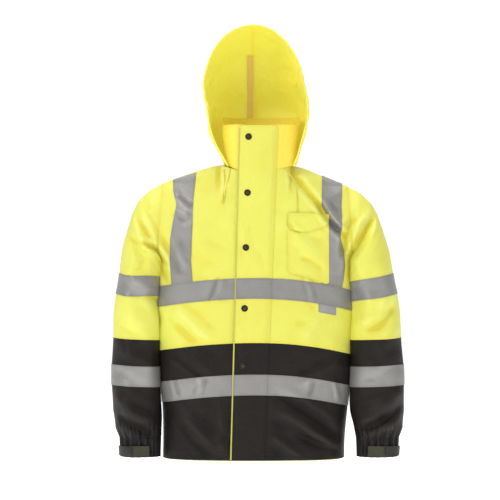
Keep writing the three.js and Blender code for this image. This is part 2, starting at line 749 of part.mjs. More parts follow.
function buildHangLoop() {
  const centreLine = new THREE.CatmullRomCurve3([
    new THREE.Vector3(-loopHalf, 0, loopTop),
    new THREE.Vector3(-loopHalf * 0.86, 0, loopTop - loopDrop * 0.6),
    new THREE.Vector3(-loopHalf * 0.4, 0, loopTop - loopDrop * 0.95),
    new THREE.Vector3(0, 0, loopTop - loopDrop),
    new THREE.Vector3(loopHalf * 0.4, 0, loopTop - loopDrop * 0.95),
    new THREE.Vector3(loopHalf * 0.86, 0, loopTop - loopDrop * 0.6),
    new THREE.Vector3(loopHalf, 0, loopTop),
  ]);
  const steps = Array.from({ length: 13 }, (_, i) => i / 12);
  const spots = steps.map((t) => {
    const centre = centreLine.getPoint(t);
    const along = centreLine.getTangent(t);
    const across = new THREE.Vector3(-along.z, 0, along.x).multiplyScalar(loopTapeWidth / 2);
    return [centre.clone().sub(across), centre.clone().add(across)].map((p) => skin("back", p.x, p.z));
  });
  const top = -(wall + loopGap);
  return addMesh("hang_loop", layer(spots, top - loopThick, top), black);
}

// Front closure

const flapUpperHeights = [
  colourSeam + seamGap / 2, 345, chestTapeBottom, chestTapeBottom + tapeWidth, 500, 550, 600, 650, 690,
  neckFrontHeight, 750, 790, flapTop,
];
const flapLowerHeights = [
  flapBottom, 60, 110, waistTapeBottom, waistTapeBottom + tapeWidth, 252, colourSeam - seamGap / 2,
];
const flapShares = [0, 0.1, 0.3, 0.5, 0.7, 0.833, 0.9, 0.95, 1];

function flapSpots(heights) {
  return heights.map((height) =>
    flapShares.map((share) => {
      const x = lerp(freeEdgeX(height), sewnX(height), share);
      return closureSpot(x, archedHeight(height, x));
    }),
  );
}

const flapUnderside = (r, c) => lerp(flapLift, flapRootLift, smooth(1 - (1 - flapShares[c]) / flapRootShare));
const flapOutside = (r, c) => flapUnderside(r, c) + flapWall;

function buildStormFlap() {
  const upper = layer(flapSpots(flapUpperHeights), flapUnderside, flapOutside);
  const lower = layer(flapSpots(flapLowerHeights), flapUnderside, flapOutside);
  addMesh("storm_flap_upper", drill(upper, snapHoles(colourSeam, flapTop)), lime);
  addMesh("storm_flap_lower", drill(lower, snapHoles(0, colourSeam)), black);
  const edge = flapLowerHeights.map((height) =>
    [-facingProud, facingWidth - facingProud].map((reach) => {
      const x = freeEdgeX(height) + reach;
      return closureSpot(x, archedHeight(height, x));
    }),
  );
  const facingTop = flapLift - layGap;
  addMesh("storm_flap_facing", layer(edge, facingTop - facingThick, facingTop), lime);
  for (const [band, bottom] of [["waist", waistTapeBottom], ["chest", chestTapeBottom]]) {
    const spots = flapSpots([bottom, bottom + tapeWidth]);
    const low = (r, c) => flapOutside(r, c) + layGap;
    const high = (r, c) => flapOutside(r, c) + layGap + tapeThick;
    addMesh(`${band}_tape_flap`, layer(spots, low, high), silver);
  }
}

function buildSnaps() {
  const capBottom = flapLift + flapWall + runGap;
  const capTop = capBottom + snapCapThick;
  const socketTop = flapLift - runGap;
  const cap = [
    [0, snapRecessTop], [snapRecessRadius, snapRecessTop], [snapRecessRadius, snapSocketBottom],
    [snapSocketRadius, snapSocketBottom], [snapSocketRadius, socketTop], [snapPostRadius, socketTop],
    [snapPostRadius, capBottom], [snapCapRadius, capBottom], [snapCapRadius - 0.6, capTop - 0.5], [0, capTop],
  ];
  const washerTop = -(wall + layGap);
  const flangeTop = runGap + snapFlangeThick;
  const stud = [
    [0, washerTop - snapFlangeThick], [snapFlangeRadius, washerTop - snapFlangeThick],
    [snapFlangeRadius, washerTop], [snapPostRadius, washerTop], [snapPostRadius, runGap],
    [snapFlangeRadius, runGap],
    [snapFlangeRadius, flangeTop], [snapPostRadius, flangeTop], [snapHeadRadius, snapHeadTop - 0.7],
    [snapHeadRadius - 0.6, snapHeadTop], [0, snapHeadTop],
  ];
  const metal = { roughness: 0.35, metalness: 0.8 };
  snapSpots.forEach((spot, i) => {
    standOn(addMesh(`snap_cap_${i + 1}`, turned(cap), black, metal), spot);
    standOn(addMesh(`snap_stud_${i + 1}`, turned(stud), silver, metal), spot);
  });
}

// The zip is straight, so its pieces are built in a frame of their own: u to the wearer's left, n to the front
const zipFrame = new THREE.Group();
const zipDirection = new THREE.Vector3(zipSlope, frontLean, 1).normalize();

function placeZipFrame() {
  const u = new THREE.Vector3(1, 0, 0);
  u.addScaledVector(zipDirection, -u.dot(zipDirection)).normalize();
  const n = u.clone().cross(zipDirection);
  zipFrame.quaternion.setFromRotationMatrix(new THREE.Matrix4().makeBasis(u, n.negate(), zipDirection));
  zipFrame.position.set(zipHemX, -hemFrontDepth, 0);
  jacket.add(zipFrame);
}

// Extrudes a section of [u, lift] corners along the zip between two heights
function alongZip(corners, low, high) {
  const outline = new THREE.Shape(corners.map(([u, lift]) => new THREE.Vector2(u, -lift)));
  const geometry = new THREE.ExtrudeGeometry(outline, { depth: high - low, bevelEnabled: false });
  return geometry.translate(0, 0, low);
}

function buildZip() {
  placeZipFrame();
  const tapeTop = -(wall + zipTapeGap);
  const tapeLow = tapeTop - zipTapeThick;
  const chainTop = tapeTop + (chainThick - zipTapeThick) / 2;
  const chainLow = chainTop - chainThick;
  for (const [hand, side] of [["right", -1], ["left", 1]]) {
    const section = [
      [chainSplitHalf, chainLow], [chainHalf, chainLow], [chainHalf, tapeLow], [zipTapeHalf, tapeLow],
      [zipTapeHalf, tapeTop], [chainHalf, tapeTop], [chainHalf, chainTop], [chainSplitHalf, chainTop],
    ].map(([u, lift]) => [side * u, lift]);
    zipFrame.add(addMesh(`zip_half_${hand}`, alongZip(section, zipBottom, zipTop), black));
  }
  const plateHalf = zipSlotHalf - 0.8;
  const webHalf = chainSplitHalf - runGap;
  const plateThick = 1;
  const topPlate = chainTop + runGap;
  const lowPlate = chainLow - runGap;
  const sliderLength = 14;
  const sliderBottom = zipTop - sliderLength - 4;
  const body = [
    [-plateHalf, lowPlate - plateThick], [plateHalf, lowPlate - plateThick], [plateHalf, lowPlate],
    [webHalf, lowPlate], [webHalf, topPlate], [plateHalf, topPlate], [plateHalf, topPlate + plateThick],
    [-plateHalf, topPlate + plateThick], [-plateHalf, topPlate], [-webHalf, topPlate], [-webHalf, lowPlate],
    [-plateHalf, lowPlate],
  ];
  const metal = { roughness: 0.4, metalness: 0.7 };
  zipFrame.add(addMesh("zip_slider", alongZip(body, sliderBottom, sliderBottom + sliderLength), black, metal));
  const pull = new THREE.Shape();
  const pullHalf = 3.5;
  const pullTop = sliderBottom + sliderLength - 1;
  const pullLength = 30;
  pull.moveTo(-pullHalf, pullTop - pullLength).lineTo(pullHalf, pullTop - pullLength);
  pull.lineTo(pullHalf, pullTop).lineTo(-pullHalf, pullTop);
  pull.holes.push(new THREE.Path().absarc(0, pullTop - pullLength + 5, 1.8, 0, 2 * Math.PI, true));
  const pullBottomLift = topPlate + plateThick + runGap;
  const plate = new THREE.ExtrudeGeometry(pull, { depth: 1.2, bevelEnabled: false, curveSegments: 6 });
  plate.rotateX(Math.PI / 2).translate(0, -pullBottomLift, 0);
  zipFrame.add(addMesh("zip_pull", plate, black, metal));
}

// Chest pocket, its flap and the plain label patch

function patchSpots(innerX, outerX, heights, arched = false) {
  const reference = halfWidth(heights[0]);
  return heights.map((height) =>
    sharesBetween(innerX / reference, outerX / reference).map((share) => {
      const x = share * reference;
      return skin("front", x, arched ? archedHeight(height, x) : height);
    }),
  );
}

function buildPocket() {
  const bag = patchSpots(pocketInnerX, pocketOuterX, [pocketBottom, 480, 505, 540, 575, pocketTop]);
  addMesh("chest_pocket", layer(bag, pocketLift, pocketLift + pocketThick), lime);
  const lid = patchSpots(pocketInnerX - 1, pocketOuterX + 1, [
    pocketFlapTop - pocketFlapDrop, pocketFlapTop - pocketFlapDrop / 2, pocketFlapTop,
  ]);
  const lidLift = pocketLift + pocketThick + 0.6;
  addMesh("chest_pocket_flap", layer(lid, lidLift, lidLift + pocketThick), lime);
  const patchTop = chestTapeBottom - seamGap;
  const patch = patchSpots(labelInnerX, labelOuterX, [patchTop - labelDrop, patchTop], true);
  addMesh("label_patch", layer(patch, layGap, layGap + tapeThick), silver);
}

function buildDrawcords() {
  const section = new THREE.Shape();
  section.absellipse(0, 0, cordRadius, cordRadius, 0, 2 * Math.PI);
  for (const [hand, route] of [["right", rightCordRoute], ["left", leftCordRoute]]) {
    const path = new THREE.CatmullRomCurve3(route.map(([x, y, z]) => new THREE.Vector3(x, y, z)));
    const settings = { steps: cordSteps, curveSegments: cordSides / 2, bevelEnabled: false, extrudePath: path };
    addMesh(`drawcord_${hand}`, new THREE.ExtrudeGeometry(section, settings), lime);
  }
}

buildPanels();
buildBodyTapes();
buildBraceTapes();
buildSleeves();
buildCollar();
buildHood();
buildHangLoop();
buildStormFlap();
buildSnaps();
buildZip();
buildPocket();
buildDrawcords();

// The origin sits on the hang loop, at the middle of its lowest run
const hangHeight = loopTop - loopDrop;
const hangDepth = skin("back", 0, hangHeight).point.y - wall - loopGap - loopThick / 2;
jacket.position.set(0, -hangDepth, -hangHeight);

const group = new THREE.Group();
group.add(jacket);

export default group;
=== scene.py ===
import json
import math

import bmesh
import bpy
import numpy as np
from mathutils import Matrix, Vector

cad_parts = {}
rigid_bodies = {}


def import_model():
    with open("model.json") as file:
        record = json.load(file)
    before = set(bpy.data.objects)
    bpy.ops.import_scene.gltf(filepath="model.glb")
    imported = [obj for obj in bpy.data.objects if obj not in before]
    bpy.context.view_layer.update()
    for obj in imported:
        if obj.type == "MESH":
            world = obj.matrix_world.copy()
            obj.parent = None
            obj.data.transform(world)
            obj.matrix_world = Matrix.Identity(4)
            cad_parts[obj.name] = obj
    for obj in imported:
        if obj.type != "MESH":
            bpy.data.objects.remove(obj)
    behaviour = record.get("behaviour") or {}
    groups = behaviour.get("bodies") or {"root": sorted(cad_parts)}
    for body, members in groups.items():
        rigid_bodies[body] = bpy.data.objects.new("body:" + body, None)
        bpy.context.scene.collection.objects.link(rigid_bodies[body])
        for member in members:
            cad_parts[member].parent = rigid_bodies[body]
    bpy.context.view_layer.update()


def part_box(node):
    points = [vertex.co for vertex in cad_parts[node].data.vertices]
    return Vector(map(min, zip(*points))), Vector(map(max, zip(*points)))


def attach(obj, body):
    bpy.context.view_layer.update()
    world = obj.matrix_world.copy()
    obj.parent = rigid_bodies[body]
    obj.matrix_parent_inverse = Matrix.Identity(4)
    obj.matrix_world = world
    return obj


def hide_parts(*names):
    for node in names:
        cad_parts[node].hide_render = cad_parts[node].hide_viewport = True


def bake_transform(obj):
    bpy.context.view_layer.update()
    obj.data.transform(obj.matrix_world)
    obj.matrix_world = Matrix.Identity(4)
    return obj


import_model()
bpy.ops.object.select_all(action="DESELECT")
scene = bpy.context.scene
print("frame loaded")

# Measures are in millimetres from the hem and the side seams, as a pattern cutter takes them
seamDepth = (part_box("front_left_lower")[1].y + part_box("back_lower")[0].y) / 2
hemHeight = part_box("back_lower")[0].z


def toRow(points):
    return np.asarray(points, float) / 1000 + np.array([0, seamDepth, hemHeight])


def smooth(t):
    t = np.clip(t, 0, 1)
    return t * t * (3 - 2 * t)


def lerp(a, b, t):
    return a + (b - a) * t


def steps(count, power=1.0):
    # Even steps from 0 to 1, closer together near 1 where power is over 1
    return 1 - (1 - np.linspace(0, 1, count)) ** power


# Camera and view

view = {"centre": (-12.5, 521), "width": 1.25, "distance": 6.0, "plane": -0.13, "sensor": 36}


def placeCamera():
    cameraData = bpy.data.cameras.new("camera")
    camera = bpy.data.objects.new("camera", cameraData)
    scene.collection.objects.link(camera)
    spot = toRow([view["centre"][0], 0, view["centre"][1]])
    camera.location = (spot[0], view["plane"] - view["distance"], spot[2])
    camera.rotation_euler = (math.pi / 2, 0, 0)
    cameraData.sensor_width = view["sensor"]
    cameraData.lens = view["sensor"] * view["distance"] / view["width"]
    cameraData.clip_end = 50
    scene.camera = camera


placeCamera()
scene.view_settings.view_transform = "Standard"

# The body's cut

bodyCut = {"hemHalf": 224, "chestHalf": 246, "fullAt": 310, "armpit": 462, "tipX": 232, "tipZ": 688, "neckZ": 734,
           "bow": 1.25, "round": 110, "power": 2.6, "frontHem": 122, "lean": 0.053, "backHem": 110, "bladeZ": 540,
           "blade": 118, "backNeck": 86, "armhole": 72, "armholeBlend": 90, "topZ": 745}
neckCut = {"half": 88, "frontZ": 715, "backZ": 745, "frontPower": 4, "backPower": 2.4, "collar": 116,
           "collarBack": 109, "flare": 15, "backFlare": 12}
bandCut = {"width": 51, "chest": 400, "waist": 162, "seam": 291, "drop": 22, "lift": 1.0, "thick": 0.7}
wallThick = 1.2


def armholeRise(z):
    return np.clip((z - bodyCut["armpit"]) / (bodyCut["tipZ"] - bodyCut["armpit"]), 0, 1)


def halfWidth(z):
    low = lerp(bodyCut["hemHalf"], bodyCut["chestHalf"], smooth(z / bodyCut["fullAt"]))
    return np.where(z < bodyCut["armpit"], low, lerp(bodyCut["chestHalf"], bodyCut["tipX"], armholeRise(z)))


def frontDepth(z):
    return bodyCut["frontHem"] - bodyCut["lean"] * z


def backDepth(z):
    low = lerp(bodyCut["backHem"], bodyCut["blade"], z / bodyCut["bladeZ"])
    share = (z - bodyCut["bladeZ"]) / (bodyCut["topZ"] - bodyCut["bladeZ"])
    return np.where(z < bodyCut["bladeZ"], low, lerp(bodyCut["blade"], bodyCut["backNeck"], share**2))


def topHeight(face, x):
    across = np.abs(x) / neckCut["half"]
    centre = neckCut["frontZ"] if face == "front" else neckCut["backZ"]
    out = np.clip((np.abs(x) - neckCut["half"]) / (bodyCut["tipX"] - neckCut["half"]), 0, 1.2)
    shoulder = bodyCut["neckZ"] - (bodyCut["neckZ"] - bodyCut["tipZ"]) * out ** bodyCut["bow"]
    return np.where(across < 1, lerp(centre, bodyCut["neckZ"], across**2), shoulder)


def bodyDepth(face, x, z):
    across = np.minimum(1, np.abs(x) / halfWidth(z))
    full = frontDepth(z) if face == "front" else backDepth(z)
    edge = bodyCut["armhole"] * np.sin(np.pi * armholeRise(z))
    closing = lerp(bodyCut["power"], 1, smooth((z - bodyCut["armpit"]) / bodyCut["armholeBlend"]))
    opened = edge + (full - edge) * (1 - across ** bodyCut["power"]) ** (1 / closing)
    rounding = np.maximum(1, bodyCut["round"] * (1 - across**3))
    rise = np.clip((z - topHeight(face, x) + rounding) / rounding, 0, 1)
    power = neckCut["frontPower"] if face == "front" else neckCut["backPower"]
    top = full * np.maximum(0, 1 - (np.abs(x) / neckCut["half"]) ** power) ** (1 / power)
    return top + (opened - top) * np.sqrt(1 - rise**2)


def bodyPoint(face, x, z):
    depth = np.maximum(0.2, bodyDepth(face, x, z))
    return np.stack([x, -depth if face == "front" else depth, z], -1)


def unit(v):
    return v / np.maximum(np.linalg.norm(v, axis=-1, keepdims=True), 1e-9)


def skin(face, x, z):
    # Points on the body and their outward directions
    x, z = np.broadcast_arrays(np.asarray(x, float), np.asarray(z, float))
    side = np.where(x < 0, -1.0, 1.0)
    half = halfWidth(z)
    share = np.minimum(1, np.abs(x) / half)
    turn = np.arcsin(share ** (bodyCut["power"] / 2))
    step = math.radians(3)
    near = np.sin(np.maximum(0, turn - step)) ** (2 / bodyCut["power"]) * half
    far = np.sin(np.minimum(math.pi / 2, turn + step)) ** (2 / bodyCut["power"]) * half
    along = bodyPoint(face, side * far, z) - bodyPoint(face, side * near, z)
    above = np.minimum(z + 14, topHeight(face, x))
    below = np.maximum(z - 14, 0)
    high = bodyPoint(face, side * share * halfWidth(above), above)
    low = bodyPoint(face, side * share * halfWidth(below), below)
    normal = np.cross(along, high - low) * side[..., None] * (1 if face == "front" else -1)
    point = bodyPoint(face, x, z)
    normal[..., 1] = np.where(np.abs(point[..., 1]) < 1, 0, normal[..., 1])
    return point, unit(normal)


def archedHeight(height, x):
    share = np.abs(x) / halfWidth(np.minimum(height, bodyCut["armpit"]))
    fade = 1 - smooth((height - 451) / 200)
    return height - bandCut["drop"] * share**2 * np.minimum(1, height / 160) * fade


def zipX(z):
    return -8 + 0.024 * z


def sewnX(z):
    return 24 + 0.041 * z


def freeEdgeX(z):
    return -60 + 0.0265 * z


# How the cloth hangs: each fold is x0, z0, x1, z1, bow, half width, height; a valley has a height below 0

frontFolds = [
    (98, 706, 176, 622, 4, 8, -6), (118, 716, 196, 640, 2, 14, 5), (150, 668, 200, 604, 0, 9, 4),
    (160, 634, 222, 556, 5, 7, -8), (172, 640, 216, 584, 3, 9, 4), (-92, 452, -112, 396, 0, 7, -2.5),
    (128, 455, 142, 395, 0, 6, 1.8), (-200, 380, -120, 300, 4, 16, 3), (-190, 330, -90, 250, 0, 18, -3),
    (180, 390, 120, 300, 0, 18, 3), (60, 160, 200, 70, -6, 12, -5), (50, 120, 190, 30, -8, 13, 5),
    (110, 60, 215, 18, 0, 10, -4), (40, 60, 120, 4, 0, 12, 4), (-210, 140, -100, 40, 6, 16, 4),
    (-190, 90, -110, 8, 4, 12, -4), (-90, 150, -80, 10, 0, 14, 3), (-214, 262, -120, 196, 0, 12, -3),
    (210, 250, 110, 190, 0, 13, 3), (-205, 205, -190, 160, 0, 6, -2), (-130, 212, -142, 160, 0, 6, 2),
    (150, 214, 134, 160, 0, 7, -2.2), (196, 206, 206, 158, 0, 6, 2), (-28, 585, -10, 500, 4, 9, 2.6),
    (8, 520, 34, 440, 0, 9, -2.2), (12, 470, -8, 360, 0, 11, 2.4), (-34, 330, -26, 230, 0, 8, 1.6),
    (-232, 560, -190, 470, 0, 10, -3), (-150, 600, -120, 500, 8, 24, 2.5), (-60, 690, -110, 640, 0, 16, 2.5),
    (100, 560, 160, 520, 6, 14, 2), (110, 500, 170, 470, -4, 10, -2), (86, 590, 112, 566, 6, 5, -2.5),
    (-195, 655, -160, 628, 0, 7, -4), (-205, 626, -165, 604, 0, 9, 3), (-212, 520, -170, 480, 0, 14, 2.5),
    # the wearer's right sleeve
    (-292, 596, -226, 452, -8, 9, -10), (-276, 540, -222, 486, -3, 7, -7), (-312, 556, -286, 470, -8, 10, -6),
    (-300, 600, -240, 500, -6, 14, 6), (-270, 398, -240, 336, -4, 9, -8), (-322, 470, -270, 404, 0, 12, 4),
    (-330, 400, -270, 330, 6, 18, 4), (-345, 330, -290, 300, 0, 14, -3), (-330, 270, -262, 230, 0, 12, 4),
    (-352, 220, -280, 170, 0, 16, -4), (-345, 150, -270, 96, 6, 13, 5), (-350, 110, -280, 66, 4, 10, -5),
    # the wearer's left sleeve
    (243, 598, 222, 510, 6, 9, -9), (294, 600, 240, 474, 8, 10, -11), (318, 560, 262, 448, 8, 15, 6),
    (232, 520, 252, 450, 0, 12, -7), (262, 430, 262, 340, -4, 10, -6), (338, 382, 288, 318, -6, 12, -6),
    (352, 430, 300, 384, 0, 14, 4), (346, 330, 300, 262, 6, 16, 5), (352, 240, 280, 190, 0, 15, -4),
    (352, 170, 282, 120, 0, 14, 5), (350, 130, 276, 74, -4, 11, -6), (330, 90, 268, 56, 0, 9, 4),
]
backFolds = [
    (-200, 640, -90, 560, 10, 22, 5), (200, 640, 90, 560, -10, 22, 5), (-215, 520, -120, 470, 6, 18, -4),
    (215, 520, 120, 470, -6, 18, -4), (-60, 700, -20, 480, 10, 26, 3), (70, 690, 40, 430, 0, 28, -3),
    (-180, 380, -60, 300, 0, 20, 4), (170, 390, 50, 310, 0, 22, -3), (-190, 260, -70, 180, 8, 20, -4),
    (190, 270, 80, 170, 0, 22, 4), (-120, 160, -100, 4, 8, 18, 5), (-30, 150, -10, 4, 0, 20, -4),
    (70, 160, 90, 4, -6, 18, 5), (160, 150, 180, 4, 0, 16, -4), (-300, 590, -250, 470, -6, 14, -6),
    (300, 590, 250, 470, 6, 14, -6), (-345, 420, -270, 350, 0, 16, 5), (345, 420, 270, 350, 0, 16, 5),
    (-350, 300, -270, 240, 0, 16, -4), (350, 300, 270, 240, 0, 16, -4), (-350, 180, -270, 110, 0, 15, 5),
    (350, 180, 270, 110, 0, 15, 5),
]


def foldHeight(folds, x, z):
    total = np.zeros(np.broadcast(x, z).shape)
    for x0, z0, x1, z1, bow, width, height in folds:
        length = math.hypot(x1 - x0, z1 - z0)
        along = ((x - x0) * (x1 - x0) + (z - z0) * (z1 - z0)) / length**2
        inside = np.clip(along, 0, 1)
        aside = ((x - x0) * (z1 - z0) - (z - z0) * (x1 - x0)) / length - bow * 4 * inside * (1 - inside)
        taper = smooth((along + 0.2) / 0.4) * smooth((1.2 - along) / 0.4)
        crest = np.exp(-((aside / width) ** 2)) - 0.4 * np.exp(-(((np.abs(aside) - 2 * width) / width) ** 2))
        total = total + height * crest * taper
    return 1.35 * total


def ripple(x, z, seed, size):
    # Soft uneven waves between about -1 and 1
    draw = np.random.default_rng(seed)
    total = 0
    for _ in range(9):
        angle, phase, scale = draw.uniform(0, math.pi), draw.uniform(0, 2 * math.pi), draw.uniform(0.6, 1.9)
        total = total + np.sin(2 * math.pi * (x * math.cos(angle) + z * math.sin(angle)) / (size * scale) + phase)
    return total / 4


leanHeights = [700, 730, 756, 776, 796, 816, 856, 876, 896, 916, 936, 976, 1016, 1056, 1090]
leanShifts = [0, 14, 12.5, 9, 7.5, 6.5, 7.5, 6.5, 3, 0, -3.5, -3.5, -5, -6, -3]


def settle(points, lean=False):
    # Hangs points of the even cut as the jacket hangs, with its folds and its uneven sides
    points = np.array(points, float)
    x, y, z = points[..., 0].copy(), points[..., 1].copy(), points[..., 2].copy()
    closure = smooth((np.abs(x - zipX(z)) - 14) / 40) * (1 - smooth((z - 700) / 30))
    high = 1 - smooth((z - 690) / 40)
    crumple = lerp(0.8, 1.5, smooth((np.abs(x) - 236) / 30)) + 1.2 * smooth((150 - z) / 150)
    inFront = foldHeight(frontFolds, x, z) * high + crumple * ripple(x, z, 5, 62) * closure
    behind = foldHeight(backFolds, x, z) * high + 1.2 * crumple * ripple(x, z, 8, 78)
    flapHold = lerp(0.25, 1, smooth((np.abs(x - zipX(z)) - 10) / 45))
    points[..., 1] -= inFront * flapHold * smooth((-y - 4) / 30)
    points[..., 1] += behind * smooth((y - 4) / 30)
    sleeve = smooth((np.abs(x) - 262) / 80)
    # the sleeves' fronts close up to the body
    tuck = smooth((-y - 12) / 24) * smooth((310 - np.abs(x)) / 56)
    tuck = tuck * smooth((np.abs(x) - 244.5) / 4) * smooth((530 - z) / 40)
    points[..., 0] -= np.sign(x) * 15 * tuck
    # the left sleeve stands out more than the right
    wearersLeft = smooth(x / 50)
    outward = lerp(-6.5 * smooth((430 - z) / 300), 8.5 * smooth((600 - z) / 200), wearersLeft)
    points[..., 0] += np.sign(x) * outward * sleeve
    # the left side hangs lower
    sag = 10 * np.clip((x - 40) / 205, 0, 1) ** 2 * smooth((248 - x) / 2)
    points[..., 2] -= sag * smooth((z - 40) / 100) * smooth((500 - z) / 60)
    # the sleeves' ends and the hem lean
    points[..., 0] += 12 * smooth((x - 246) / 8) * smooth((330 - x) / 70) * smooth((150 - z) / 110)
    points[..., 0] += 6 * smooth((-x - 246) / 8) * smooth((200 - z) / 150)
    points[..., 0] -= 7 * smooth((-x - 130) / 90) * smooth((246.5 + x) / 2) * smooth((150 - z) / 150)
    # the outline wavers, the left shoulder drops and the right sleeve rides up
    points[..., 0] += np.sign(x) * 1.6 * ripple(z, y, 11, 90) * smooth((np.abs(x) - 200) / 60)
    points[..., 2] -= 7 * smooth((x - 110) / 90) * smooth((z - 560) / 100)
    rise = 13 * smooth((-x - 246) / 10) * smooth((330 + x) / 80)
    points[..., 2] += rise * smooth((z - 330) / 60) * smooth((540 - z) / 60)
    if lean:
        shift = np.interp(z, leanHeights, leanShifts)
        points[..., 0] += shift * np.maximum(smooth((np.abs(x) - 34) / 50), smooth((z - 838) / 50))
    return points


# Making a piece of cloth from a grid of points


def arcs(points, axis):
    gaps = np.linalg.norm(np.diff(points, axis=axis), axis=-1)
    zero = np.zeros_like(np.take(gaps, [0], axis=axis))
    return np.concatenate([zero, np.cumsum(gaps, axis=axis)], axis=axis)


def borderDistance(points, wrap):
    down = arcs(points, 0)
    away = np.minimum(down, down[-1:] - down)
    if wrap:
        return away
    across = arcs(points, 1)
    return np.minimum(away, np.minimum(across, across[:, -1:] - across))


def hollowness(points, outward, wrap, reach=3):
    # How far each point lies below the cloth around it, in millimetres: over 0 in a fold's valley
    rows = np.pad(points, ((reach, reach), (0, 0), (0, 0)), mode="edge")
    columns = np.pad(points, ((0, 0), (reach, reach), (0, 0)), mode="wrap" if wrap else "edge")
    around = (rows[2 * reach:] + rows[:-2 * reach] + columns[:, 2 * reach:] + columns[:, :-2 * reach]) / 4 - points
    edge = np.exp(-borderDistance(points, wrap) / 9)
    return (around * outward).sum(-1) * (1 - edge)


def placed(name, verts, faces):
    mesh = bpy.data.meshes.new(name)
    mesh.from_pydata(toRow(verts).tolist(), [], faces)
    piece = bpy.data.objects.new(name, mesh)
    scene.collection.objects.link(piece)
    return piece


def facesOut(mesh):
    work = bmesh.new()
    work.from_mesh(mesh)
    bmesh.ops.recalc_face_normals(work, faces=work.faces)
    work.to_mesh(mesh)
    work.free()


def meshFromGrid(name, points, centre, wrap=False):
    # One sheet from a grid of points in millimetres, facing away from centre, with its own weave map
    rows, columns = points.shape[:2]
    last = columns if wrap else columns - 1
    r, c = np.meshgrid(np.arange(rows - 1), np.arange(last), indexing="ij")
    r, c = r.ravel(), c.ravel()
    n = (c + 1) % columns
    faces = np.stack([r * columns + c, r * columns + n, (r + 1) * columns + n, (r + 1) * columns + c], 1)
    flat = points.reshape(-1, 3)
    corners = flat[faces]
    facing = np.cross(corners[:, 1] - corners[:, 0], corners[:, 3] - corners[:, 0])
    away = corners.mean(1) - np.asarray(centre, float) * [1, 1, 0]
    away[:, 2] = away[:, 2] - centre[2] if centre[2] is not None else 0
    outward = gridNormals(points, wrap)
    turned = (facing * away).sum() < 0
    if (outward[:-1, :last] * facing.reshape(rows - 1, last, 3)).sum() < 0:
        outward = -outward
    if turned:
        faces = faces[:, ::-1]
        outward = -outward
    piece = placed(name, flat, faces.tolist())
    mesh = piece.data
    across, down = arcs(points, 1), arcs(points, 0)
    uv = np.stack([across / 1000, down / 1000], -1).reshape(-1, 2)
    layer = mesh.uv_layers.new(name="weave")
    index = np.zeros(len(mesh.loops), int)
    mesh.loops.foreach_get("vertex_index", index)
    layer.data.foreach_set("uv", uv[index].ravel().astype(np.float32))
    # the border and hollow maps are read by the finishes for painted shade along the seams and in the folds' valleys,
    # and a painted highlight on their crests
    edge = mesh.attributes.new("border", "FLOAT", "POINT")
    edge.data.foreach_set("value", np.exp(-borderDistance(points, wrap) / 5).ravel().astype(np.float32))
    hollow = mesh.attributes.new("hollow", "FLOAT", "POINT")
    hollow.data.foreach_set("value", hollowness(points, outward, wrap).ravel().astype(np.float32))
    return piece


def applyModifier(piece, kind, **values):
    modifier = piece.modifiers.new(kind.lower(), kind)
    for key, value in values.items():
        setattr(modifier, key, value)
    bpy.ops.object.select_all(action="DESELECT")
    bpy.context.view_layer.objects.active = piece
    piece.select_set(True)
    bpy.ops.object.modifier_apply(modifier=modifier.name)
    piece.select_set(False)


def shadeSmooth(piece, degrees=50):
    bpy.ops.object.select_all(action="DESELECT")
    bpy.context.view_layer.objects.active = piece
    piece.select_set(True)
    bpy.ops.object.shade_smooth_by_angle(angle=math.radians(degrees))
    piece.select_set(False)


blends = {}


def join(piece, body, nodes):
    # Puts a finished piece on its body or, for a piece over a joint, bakes its transform and leaves it without a
    # parent, in place of its CAD nodes
    if body in blends:
        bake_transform(piece)
    else:
        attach(piece, body)
    if nodes:
        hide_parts(*nodes)


def cloth(name, points, body, finish, nodes=(), centre=(0, 0, None), wrap=False, thick=wallThick, flat=None):
    piece = meshFromGrid(f"{name}_cloth", points, centre, wrap)
    applyModifier(piece, "SOLIDIFY", thickness=thick / 1000, offset=-1, use_quality_normals=True)
    shadeSmooth(piece)
    piece.data.materials.clear()
    piece.data.materials.append(finishes[finish])
    join(piece, body, nodes)
    if flat:
        width = arcs(points, 1)[:, -1].max() / 1000
        length = arcs(points, 0)[-1].max() / 1000
        corners = points[:-1, :-1], points[:-1, 1:], points[1:, 1:], points[1:, :-1]
        area = np.linalg.norm(np.cross(corners[2] - corners[0], corners[3] - corners[1]), axis=-1).sum() / 2e6
        area = min(area, width * length)
    return piece


def lifted(point, normal, lift):
    return point + normal * np.asarray(lift)[..., None]


# Stitching: each stitch is a small eight-sided grain half sunk in the cloth

stitchCut = {"pitch": 3.4, "length": 2.5, "half": 0.3, "proud": 0.35}
stitchRuns = {}


def addStitches(key, line, normals):
    # Keeps a line of points in millimetres, with the cloth's direction there, to be sewn later
    stitchRuns.setdefault(key, []).append((np.asarray(line, float), unit(np.asarray(normals, float))))


def sew(key, name, body, finish):
    verts, faces = [], []
    for line, normals in stitchRuns.pop(key, []):
        reach = np.concatenate([[0], np.cumsum(np.linalg.norm(np.diff(line, axis=0), axis=1))])
        starts = np.arange(stitchCut["pitch"], reach[-1] - stitchCut["pitch"], stitchCut["pitch"])
        at = lambda s, values: np.stack([np.interp(s, reach, values[:, k]) for k in range(3)], -1)
        a, b, up = at(starts, line), at(starts + stitchCut["length"], line), unit(at(starts, normals))
        middle, side = (a + b) / 2, unit(np.cross(b - a, up)) * stitchCut["half"]
        rise = up * stitchCut["proud"]
        for six in zip(a - rise * 0.4, b - rise * 0.4, middle + side, middle - side, middle + rise, middle - rise):
            n = len(verts)
            verts.extend(six)
            faces += [(n, n + 4, n + 2), (n, n + 3, n + 4), (n + 1, n + 2, n + 4), (n + 1, n + 4, n + 3)]
            faces += [(n, n + 2, n + 5), (n, n + 5, n + 3), (n + 1, n + 5, n + 2), (n + 1, n + 3, n + 5)]
    piece = placed(name, verts, faces)
    facesOut(piece.data)
    piece.data.materials.append(finishes[finish])
    join(piece, body, ())


